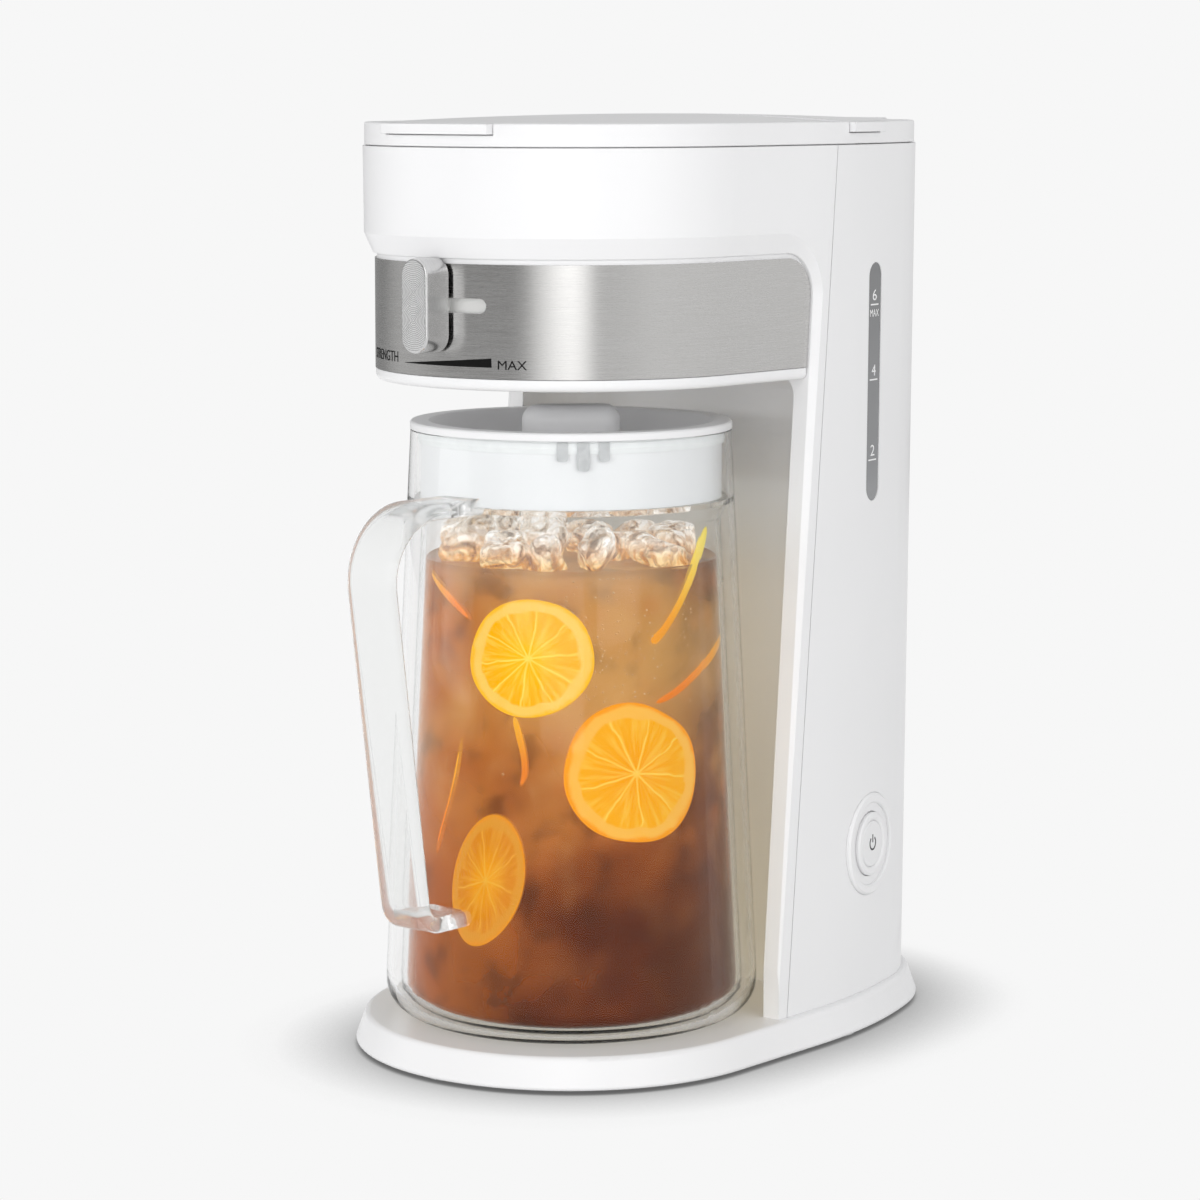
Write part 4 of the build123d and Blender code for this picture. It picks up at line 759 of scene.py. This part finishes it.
def lemonFlesh(name, tone):
    # lemon, cut with a knife: glossy rind edge, pale pith, wet pulp in segments with fine streaks from the
    # middle. The UV map is the cut face, with 0, 0 in its middle and the rind 1 from there
    material, tree = newMaterial(name)
    flat = addNode(tree, "UVMap", {"uv_map": "surface"})
    length = addNode(tree, "VectorMath", {"operation": "LENGTH", 0: flat})
    parts = addNode(tree, "SeparateXYZ", {"Vector": flat})
    angle = addNode(tree, "Math", {"operation": "ARCTAN2", 0: parts.outputs["Y"], 1: parts.outputs["X"]})

    # streaks: noise that changes fast round the slice and slowly outwards
    unit = addNode(tree, "VectorMath", {"operation": "NORMALIZE", 0: flat})
    around = addNode(tree, "Mapping", {"Vector": unit, "Scale": [flesh["streaks"]] * 3})
    outwards = addNode(tree, "Math", {"operation": "MULTIPLY", 0: length, 1: flesh["streakOut"]})
    streakAt = addNode(tree, "VectorMath", {
        "operation": "ADD", 0: around, 1: addNode(tree, "CombineXYZ", {2: outwards})})
    streaks = addNode(tree, "TexNoise", {"Vector": streakAt, "Scale": 1.0, "Detail": 3.0, "Roughness": 0.6})
    streaky = addNode(tree, "MapRange", {**smooth, 0: streaks, 1: 0.44, 2: 0.64, 4: 0.38})

    # walls between the segments, swayed by soft noise: the distance to the nearest one, along the face
    soft = addNode(tree, "TexNoise", {"Vector": flat, "Scale": flesh["soft"], "Detail": 3.0})
    wobble = addNode(tree, "MapRange", {**smooth, 0: soft, 1: 0.3, 2: 0.7, 3: -0.10, 4: 0.10})
    sway = addNode(tree, "Math", {"operation": "MULTIPLY", 0: wobble, 1: 0.5})
    swayed = addNode(tree, "Math", {"operation": "ADD", 0: angle, 1: sway})
    halfTurns = addNode(tree, "Math", {"operation": "MULTIPLY", 0: swayed, 1: tone["segments"] / 2})
    wave = addNode(tree, "Math", {"operation": "SINE", 0: halfTurns})
    near = addNode(tree, "Math", {"operation": "ABSOLUTE", 0: wave})
    spread = addNode(tree, "Math", {"operation": "MULTIPLY", 0: length, 1: 2 / tone["segments"]})
    away = addNode(tree, "Math", {"operation": "MULTIPLY", 0: near, 1: spread})
    wall = addNode(tree, "MapRange", {**smooth, 0: away, 1: flesh["wall"][0], 2: flesh["wall"][1], 4: 0.75})

    # pulp, streaks, walls, pith and rind, one over the other, then tea's stain
    edgeSway = addNode(tree, "Math", {"operation": "MULTIPLY", 0: wobble, 1: 0.35})
    edgeAt = addNode(tree, "Math", {"operation": "ADD", 0: length, 1: edgeSway})
    ripe = addNode(tree, "MapRange", {**smooth, 0: length, 1: 0.1, 2: 0.7})
    pithy = addNode(tree, "MapRange", {**smooth, 0: edgeAt, 1: flesh["pith"][0], 2: flesh["pith"][1]})
    rindy = addNode(tree, "MapRange", {**smooth, 0: edgeAt, 1: flesh["rind"][0], 2: flesh["rind"][1]})
    stained = addNode(tree, "MapRange", {**smooth, 0: soft, 1: 0.45, 2: 0.75, 4: 0.3})
    colour = tone["core"]
    for share, over in ((ripe, "pulp"), (streaky, "membrane"), (wall, "membrane"), (pithy, "pith"),
                        (rindy, "rind"), (stained, "pulp")):
        colour = addNode(tree, "Mix", {**colours, 0: share, 6: colour, 7: tone[over]})
    bump = addNode(tree, "Bump", {"Height": streaks, "Strength": 0.25, "Distance": 0.6 * mm})
    # painted glow: emission of the pulp's colour, standing in for light that comes through wet pulp
    shader = addNode(tree, "BsdfPrincipled", {
        "Base Color": addNode(tree, "Mix", {**colours, 0: tone["dim"], 6: colour, 7: flesh["tea"]}),
        "Roughness": 0.4, "IOR": 1.36, "Specular IOR Level": 0.05, "Normal": bump,
        "Emission Color": addNode(tree, "Mix", {**colours, 0: 0.25, 6: colour, 7: tone["pulp"]}),
        "Emission Strength": flesh["glow"] * (1 - tone["dim"])})  # light that comes through wet pulp
    addNode(tree, "OutputMaterial", {"Surface": shader})
    return material


lemonBright, lemonWarm, lemonDim = (lemonFlesh(name, tone) for name, tone in lemonTones.items())
slices = {
    "lemon_slice_upper": {"at": (25.0, 158.2), "half": (24.6, 22.8), "tilt": 8, "inset": 0.15, "thick": 2.6,
                          "seed": 3, "material": lemonBright, "uneven": 0.020},
    "lemon_slice_middle": {"at": (64.6, 114.4), "half": (28.6, 26.6), "tilt": -6, "inset": 0.15, "thick": 2.8,
                           "seed": 8, "material": lemonWarm, "uneven": 0.030},
    "lemon_slice_lower": {"at": (9.8, 73.2), "half": (15.5, 26.0), "tilt": -14, "inset": 0.25, "thick": 2.4,
                          "seed": 12, "material": lemonDim, "uneven": 0.025},
}
phaseTurn = 6.28  # radians, a whole turn for random phases


def onWall(flat, radius, inset, turn=0.0):
    # flat (u, v, depth) in mm wrapped on the inside of the liner: u round it at a radius, v the height above
    # the base, depth towards the axis
    r = linerRadius(flat[:, 1]) - inset - flat[:, 2]
    return toRow(roundAxis(r, turn + flat[:, 0] / radius, flat[:, 1]))


def lemonSlice(piece):
    # an uneven disc: the section (distance out, depth) turned about its middle, then laid on the wall
    half, thick = piece["half"], piece["thick"]
    out = np.concatenate([np.linspace(0.02, 0.98, 26), [0.993, 1.0, 1.0, 0.993], np.linspace(0.98, 0.02, 10)])
    depth = np.concatenate([np.zeros(26), [0.08, 0.3, 0.7, 0.92], np.ones(10)]) * thick
    turn = np.linspace(0, 2 * np.pi, 120, endpoint=False)
    draw = np.random.default_rng(piece["seed"])
    lobes = sum(draw.normal() / k * np.sin(k * turn + draw.uniform(0, phaseTurn)) for k in (2, 3, 4, 5, 7))
    o, t = np.meshgrid(out, turn, indexing="ij")
    u, v = o * np.cos(t), o * np.sin(t)
    grow = 1 + piece["uneven"] * lobes[None, :] * o ** 2
    lean = math.radians(piece["tilt"])
    x, y = u * half[0] * grow, v * half[1] * grow
    across = x * math.cos(lean) - y * math.sin(lean)
    height = x * math.sin(lean) + y * math.cos(lean)
    flat = np.stack([across, height, np.repeat(depth[:, None], len(turn), 1)], -1).reshape(-1, 3)
    flat = np.concatenate([flat, [[0, 0, 0], [0, 0, thick]]]) + [0, piece["at"][1], 0]
    uv = np.concatenate([np.stack([u, v], -1).reshape(-1, 2), np.zeros((2, 2))])
    radius = linerRadius(np.array(piece["at"][1]))
    points = onWall(flat, radius, piece["inset"], math.radians(piece["at"][0]))
    return points, closedFaces(len(out), len(turn)), uv


for name, piece in slices.items():
    points, faces, uv = lemonSlice(piece)
    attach(meshObject(name, points, faces, piece["material"], uv=uv, outward=True), "jug")


def peelMaterial(name, pale, deep):
    # lemon peel, cut in strips: oily yellow skin going orange where tea soaks in, its pores coarser than
    # real, with a painted glow
    material, tree = newMaterial(name)
    along = addNode(tree, "SeparateXYZ", {0: addNode(tree, "UVMap", {"uv_map": "surface"})}).outputs["X"]
    soaked = addNode(tree, "MapRange", {**smooth, 0: along, 1: 0.05, 2: 0.75})
    colour = addNode(tree, "Mix", {**colours, 0: soaked, 6: pale, 7: deep})
    pores = addNode(tree, "TexNoise", {"Vector": objectCoords(tree), "Scale": perMetre(1.11), "Detail": 2.0})
    bump = addNode(tree, "Bump", {"Height": pores, "Strength": 0.3, "Distance": 0.3 * mm})
    # painted glow: the peel's own colour given off as emission, though the peel is no lamp
    shader = addNode(tree, "BsdfPrincipled", {
        "Base Color": colour, "Roughness": 0.4, "Normal": bump, "Specular IOR Level": 0.05,
        "Emission Color": colour, "Emission Strength": 0.25})
    addNode(tree, "OutputMaterial", {"Surface": shader})
    return material


peelBright = peelMaterial("lemonPeelStripBright", "#F4D93A", "#E8962C")
peelWarm = peelMaterial("lemonPeelStripWarm", "#E9A32E", "#E07A24")
strips = {
    "peel_strip_a": {"line": [(107, 204), (98, 193), (88, 179.5), (78, 168), (71, 162.5)],
                     "wide": [4.2, 5.0, 4.4, 4.4, 6.4], "inset": 0.1, "material": peelBright},
    "peel_strip_b": {"line": [(121, 162), (108, 156), (94, 149.5), (82, 143.5), (72, 140)],
                     "wide": [4.4, 5.2, 4.4, 3.8, 3.0], "inset": 0.1, "material": peelWarm},
    "peel_strip_c": {"line": [(19.5, 137), (21.5, 130), (23.5, 122), (24, 115), (22.5, 110)],
                     "wide": [3.0, 3.4, 3.2, 2.8, 1.6], "inset": 0.1, "material": peelWarm},
    "peel_strip_d": {"line": [(-28, 187), (-21, 183), (-13, 179), (-6, 175), (0, 171)],
                     "wide": [2.2, 3.4, 4.6, 3.6, 2.4], "inset": 0.2, "material": peelWarm},
    "peel_strip_e": {"line": [(-3, 126), (-5, 114), (-8, 102), (-12, 90), (-15, 80)],
                     "wide": [1.6, 2.6, 3.0, 2.8, 1.8], "inset": 0.3, "material": peelWarm},
}
peelThick = 1.5  # mm


def smoothLine(points, count):
    # Catmull-Rom line through the points, sampled evenly in its parameter
    p = np.asarray(points, dtype=float)
    p = np.concatenate([[2 * p[0] - p[1]], p, [2 * p[-1] - p[-2]]])
    t = np.linspace(0, len(p) - 3 - 1e-9, count)
    i = t.astype(int)
    f = (t - i)[:, None]
    a, b, c, d = p[i], p[i + 1], p[i + 2], p[i + 3]
    square, cube = 2 * a - 5 * b + 4 * c - d, 3 * b - a - 3 * c + d
    return 0.5 * (2 * b + (c - a) * f + square * f ** 2 + cube * f ** 3)


def peelStrip(piece):
    # a flat oval section carried along a line (degrees round the jug, height) on the wall, its ends rounded
    count, around = 40, 14
    line = smoothLine([(a, z, w) for (a, z), w in zip(piece["line"], piece["wide"])], count)
    radius = float(linerRadius(np.array(line[:, 1].mean())))
    path = np.stack([np.radians(line[:, 0]) * radius, line[:, 1]], 1)
    side = sideways(path)
    s = np.linspace(0, 1, count)
    close = np.sqrt(np.clip(1 - np.abs(2 * s - 1) ** 8, 0.004, 1))
    t = np.linspace(0, 2 * np.pi, around, endpoint=False)
    across = (line[:, 2] / 2 * close)[:, None] * np.cos(t)[None, :]
    depth = (peelThick / 2 * close)[:, None] * np.sin(t)[None, :] + peelThick / 2
    u, v = (path[:, k, None] + side[:, k, None] * across for k in (0, 1))
    last = (count - 1) * around
    ends = [list(range(around)), list(range(last + around - 1, last - 1, -1))]
    uv = np.stack(np.broadcast_arrays(s[:, None], t[None, :] / (2 * np.pi)), -1).reshape(-1, 2)
    points = onWall(np.stack([u, v, depth], -1).reshape(-1, 3), radius, piece["inset"])
    return points, gridFaces(count, around).tolist() + ends, uv


for name, piece in strips.items():
    points, faces, uv = peelStrip(piece)
    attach(meshObject(name, points, faces, piece["material"], uv=uv, outward=True), "jug")
print("stage: fruit")


ice = {"outer": 12, "inner": 4, "seed": 21, "outerRadius": 41.0, "innerRadius": 16.0, "half": (8.5, 12.5),
       "shrink": 0.8, "squareness": 0.55, "crumple": 0.16, "waves": 2.6, "jitter": 0.1, "spin": 3.1,
       "wallGap": 0.8, "rise": (192.5, 200.5), "highest": 209.0, "flatten": 0.1, "warmHeights": (193, 204)}


def clearIce(name):
    # ice, frozen in trays and melting: clear, wet, crumpled by cracks, warm where it touches the tea, with
    # painted glints and a painted glow in its veins
    material, tree = newMaterial(name)
    where = objectCoords(tree)
    warmest, coldest = ice["warmHeights"]
    height = addNode(tree, "MapRange", {
        **smooth, 0: addNode(tree, "SeparateXYZ", {0: where}).outputs["Z"], 1: warmest * mm, 2: coldest * mm})
    cracks = addNode(tree, "TexVoronoi", {"feature": "F1", "Vector": where, "Scale": perMetre(6.667)})
    ripples = addNode(tree, "TexNoise", {
        "Vector": where, "Scale": perMetre(5.263), "Detail": 3.0, "Distortion": 1.2})
    rough = addNode(tree, "Math", {"operation": "ADD", 0: cracks, 1: ripples})
    bump = addNode(tree, "Bump", {"Height": rough, "Strength": 0.9, "Distance": 3.5 * mm})
    clear = addNode(tree, "BsdfPrincipled", {
        "Base Color": addNode(tree, "Mix", {**colours, 0: height, 6: "#D9A55C", 7: "#F4F1EC"}),
        "Roughness": 0.05, "IOR": 1.31, "Transmission Weight": 1.0, "Normal": bump})

    # cloudy veins, brown by the tea and white above it: partly the ice's own cloud, partly painted highlights
    # and painted shade in their whitest and darkest tones, and lit by a painted glow
    patches = addNode(tree, "TexNoise", {
        "Vector": where, "Scale": perMetre(11.76), "Detail": 4.0, "Distortion": 2.0})
    warm = addNode(tree, "ValToRGB", {
        "Fac": patches, "stops": [(0.34, "#7E4A1C"), (0.46, "#D8963C"), (0.58, "#F4D49A")]})
    cold = addNode(tree, "ValToRGB", {
        "Fac": patches, "stops": [(0.36, "#6E5A48"), (0.45, "#DCD0C2"), (0.54, "#FFFFFF")]})
    veinToneAndGlint = addNode(tree, "Mix", {**colours, 0: height, 6: warm, 7: cold})
    veinsPaintedGlow = addNode(tree, "BsdfPrincipled", {
        "Base Color": veinToneAndGlint, "Roughness": 0.25, "Emission Color": veinToneAndGlint, "Emission Strength": 0.55,
        "Normal": bump})
    veins = addNode(tree, "MapRange", {**smooth, 0: ripples, 1: 0.40, 2: 0.60, 3: 0.35, 4: 0.85})
    body = addNode(tree, "MixShader", {0: veins, 1: clear, 2: veinsPaintedGlow})
    addNode(tree, "OutputMaterial", {"Surface": lampsPass(tree, body, (0.9, 0.88, 0.84, 1.0))})
    return material


def squared(v):
    # a sine or cosine raised to a power under 1, its sign kept
    return np.sign(v) * np.abs(v) ** ice["squareness"]


def iceChunk(draw, share, out):
    # superellipsoid: each direction's sines and cosines, squared off, dented by low waves, turned at random,
    # kept inside the liner and flattened above a height
    rows, steps = 22, 36
    angle = 2 * math.pi * share + draw.uniform(-ice["jitter"], ice["jitter"])
    half = draw.uniform(*ice["half"], 3)
    up = np.linspace(-np.pi / 2, np.pi / 2, rows + 2)[1:-1]
    u, t = np.meshgrid(up, np.linspace(0, 2 * np.pi, steps, endpoint=False), indexing="ij")
    ball = np.stack([squared(np.cos(u)) * squared(np.cos(t)), squared(np.cos(u)) * squared(np.sin(t)),
                     squared(np.sin(u))], -1)
    ball = np.concatenate([ball.reshape(-1, 3), [[0, 0, -1], [0, 0, 1]]])
    waves = sum(np.sin(ball @ draw.normal(0, ice["waves"], 3) + draw.uniform(0, phaseTurn)) / (1 + j)
                for j in range(5))
    chunk = ball * half * (1 + ice["crumple"] * waves)[:, None] * ice["shrink"]
    spin = Matrix.Rotation(draw.uniform(0, ice["spin"]), 3, Vector(draw.normal(size=3)))
    chunk = chunk @ np.array(spin).T
    chunk += [out * math.sin(angle), -out * math.cos(angle), draw.uniform(*ice["rise"])]
    limit = linerRadius(chunk[:, 2]) - ice["wallGap"]
    chunk[:, :2] *= np.minimum(1, limit / np.hypot(chunk[:, 0], chunk[:, 1]))[:, None]
    chunk[:, 2] = np.minimum(chunk[:, 2], ice["highest"] + ice["flatten"] * (chunk[:, 2] - ice["highest"]))
    return chunk, closedFaces(rows, steps)


draw = np.random.default_rng(ice["seed"])
chunks = [iceChunk(draw, k / ice[ring], ice[ring + "Radius"]) for ring in ("outer", "inner")
          for k in range(ice[ring])]
points, faces = joined(chunks)
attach(meshObject("ice", toRow(points), faces, clearIce("iceTrayFrozen"), outward=True), "jug")

bubbles = {"count": 170, "seed": 5, "size": (0.22, 0.62), "angle": (58.0, 17.0), "height": (160.0, 17.0),
           "under": 2.0, "wallGap": 0.1}


def bubbleCloud():
    # small air bubbles held on the wall: 20-sided balls spread by a seeded normal draw
    draw = np.random.default_rng(bubbles["seed"])
    ball = bpy.data.meshes.new("ball")
    solid = bmesh.new()
    bmesh.ops.create_icosphere(solid, subdivisions=1, radius=1.0)
    solid.to_mesh(ball)
    solid.free()
    unit, ballFaces = meshArrays(ball)
    parts = []
    for _ in range(bubbles["count"]):
        angle = math.radians(draw.normal(*bubbles["angle"]))
        z = min(float(draw.normal(*bubbles["height"])), tea["level"] - bubbles["under"])
        size = draw.uniform(*bubbles["size"])
        r = float(linerRadius(np.array(z))) - bubbles["wallGap"] - size
        parts.append((unit * size + [r * math.sin(angle), -r * math.cos(angle), z], ballFaces))
    return joined(parts)


def bubbleSkin(name):
    # air in tea: pale beads, their pale colour a painted glint
    material, tree = newMaterial(name)
    speck = addNode(tree, "TexNoise", {"Vector": objectCoords(tree), "Scale": perMetre(2.5)})
    colour = addNode(tree, "ValToRGB", {"Fac": speck, "stops": [(0.3, "#C79A66"), (0.7, "#E2C08E")]})
    shader = addNode(tree, "BsdfPrincipled", {"Base Color": colour, "Roughness": 0.15})
    addNode(tree, "OutputMaterial", {"Surface": shader})
    return material


points, faces = bubbleCloud()
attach(meshObject("tea_bubbles", toRow(points), faces, bubbleSkin("airBubblesPaintedGlint")), "jug")
print("stage: ice and bubbles")


studio = {"white": 0.93, "ambient": 0.65, "floorRadii": (0.4, 6.0), "shadowReach": 0.05, "shadowDark": 0.12,
          "shadowPower": 1.8, "screenRadius": 2.0, "screenHigh": 2.2, "screenTop": 2.3, "footDim": 0.12,
          "footHigh": 0.1}  # metres
screenLevels = [(-180, 0.85), (-122, 0.3), (-98, 0.3), (-75, 0.58), (-55, 0.5), (-33, 0.30), (8, 0.22),
                (15, 0.45), (22, 1.15), (33, 2.0), (41, 2.3), (47, 1.9), (55, 0.74), (62, 0.76), (88, 0.95),
                (125, 0.92), (180, 0.85)]  # degrees round the object from its front, brightness
scene = bpy.context.scene
world = bpy.data.worlds.new("studio")
scene.world = world
world.use_nodes = True
world.node_tree.nodes.clear()
plain = addNode(world.node_tree, "Background", {"Color": "#FFFFFF", "Strength": studio["ambient"]})
bright = addNode(world.node_tree, "Background", {"Color": "#FFFFFF", "Strength": studio["white"]})
sky = addNode(world.node_tree, "MixShader", {0: seenDirectly(world.node_tree), 1: plain, 2: bright})
addNode(world.node_tree, "OutputWorld", {"Surface": sky})


def floorMaterial(name):
    # matt white card: plain white, with the soft contact shadow that the feet and the base's edge leave
    material, tree = newMaterial(name)
    near = addNode(tree, "AmbientOcclusion", {"samples": 12, "Distance": studio["shadowReach"]}).outputs["AO"]
    clear = addNode(tree, "Math", {"operation": "POWER", 0: near, 1: studio["shadowPower"]})
    level = addNode(tree, "MapRange", {0: clear, 3: studio["shadowDark"], 4: studio["white"]})
    shown = addNode(tree, "Emission", {"Color": "#FFFFFF", "Strength": level})
    card = addNode(tree, "BsdfDiffuse", {"Color": (0.8, 0.8, 0.8, 1.0)})
    mixed = addNode(tree, "MixShader", {0: seenDirectly(tree), 1: card, 2: shown})
    addNode(tree, "OutputMaterial", {"Surface": mixed})
    return material


floorSteps = 64
floorPoints = np.concatenate([turnedGrid([(r, 0.0) for r in studio["floorRadii"]], floorSteps), [[0, 0, 0]]])
floorFaces = gridFaces(2, floorSteps)[:, ::-1].tolist() + fanFaces(0, floorSteps, 2 * floorSteps).tolist()
floor = meshObject("floor", floorPoints, floorFaces, floorMaterial("paperWhiteMatt"), rounded=False)


def screenMaterial(name):
    # a ring of pale and dark studio cards, seen only in reflections, so brushed steel shows its upright bands
    material, tree = newMaterial(name)
    parts = addNode(tree, "SeparateXYZ", {"Vector": objectCoords(tree)})
    back = addNode(tree, "Math", {"operation": "MULTIPLY", 0: parts.outputs["Y"], 1: -1.0})
    angle = addNode(tree, "Math", {"operation": "ARCTAN2", 0: parts.outputs["X"], 1: back})
    share = addNode(tree, "MapRange", {0: angle, 1: -math.pi, 2: math.pi})
    greys = [(turn / 360 + 0.5, (level / studio["screenTop"],) * 3 + (1.0,)) for turn, level in screenLevels]
    high = addNode(tree, "MapRange", {
        **smooth, 0: parts.outputs["Z"], 1: 0.0, 2: studio["footHigh"], 3: studio["footDim"]})
    glow = addNode(tree, "Emission", {
        "Color": addNode(tree, "ValToRGB", {"Fac": share, "stops": greys}),
        "Strength": addNode(tree, "Math", {"operation": "MULTIPLY", 0: high, 1: studio["screenTop"]})})
    addNode(tree, "OutputMaterial", {"Surface": glow})
    return material


screenPoints = turnedGrid([(studio["screenRadius"], 0.0), (studio["screenRadius"], studio["screenHigh"])], 96)
screen = meshObject("studioCards", screenPoints, gridFaces(2, 96).tolist(), screenMaterial("studioCards"))
for ray in ("camera", "diffuse", "transmission", "volume_scatter", "shadow"):
    setattr(screen, "visible_" + ray, False)

lamps = {
    "softFront": {"azimuth": 6, "height": 0.60, "far": 1.9, "size": 1.1, "watts": 7.4},
    "softRight": {"azimuth": 74, "height": 0.60, "far": 1.9, "size": 1.1, "watts": 8.0},
    "lowFront": {"azimuth": 34, "height": 0.16, "far": 1.7, "size": 0.9, "watts": 4.5},
    "lowLeft": {"azimuth": -52, "height": 0.22, "far": 1.6, "size": 0.9, "watts": 6.0},
    "softBack": {"azimuth": 200, "height": 0.9, "far": 2.2, "size": 1.2, "watts": 4.0},
}
lampAim = Vector((0, 0, 0.18))
for name, lamp in lamps.items():
    light = bpy.data.lights.new(name, "AREA")
    light.shape, light.size, light.energy = "SQUARE", lamp["size"], lamp["watts"]
    holder = bpy.data.objects.new(name, light)
    a = math.radians(lamp["azimuth"])
    holder.location = (lamp["far"] * math.sin(a), -lamp["far"] * math.cos(a), lamp["height"])
    holder.rotation_euler = (lampAim - Vector(holder.location)).to_track_quat("-Z", "Y").to_euler()
    holder.visible_glossy = False
    scene.collection.objects.link(holder)

view = {"lens": 113.157, "sensor": 36.0, "fromJug": (0.9496, -1.09814, 0.3728), "pitch": 83.666,
        "turn": 40.411, "shift": (0.0, -0.08), "clip": (0.01, 50.0)}
camera = bpy.data.objects.new("camera", bpy.data.cameras.new("camera"))
camera.data.lens, camera.data.sensor_width = view["lens"], view["sensor"]
camera.data.shift_x, camera.data.shift_y = view["shift"]
camera.data.clip_start, camera.data.clip_end = view["clip"]
camera.data.dof.use_dof = False
camera.location = (view["fromJug"][0], view["fromJug"][1] + jugAxisY, view["fromJug"][2])
camera.rotation_euler = (math.radians(view["pitch"]), 0, math.radians(view["turn"]))
scene.collection.objects.link(camera)
scene.camera = camera
scene.view_settings.view_transform = "Standard"
scene.cycles.max_bounces = 20
scene.cycles.transmission_bounces = 20
scene.cycles.transparent_max_bounces = 40  # lamps cross two walls, the liner and the tea, each side
print("stage: studio and camera")
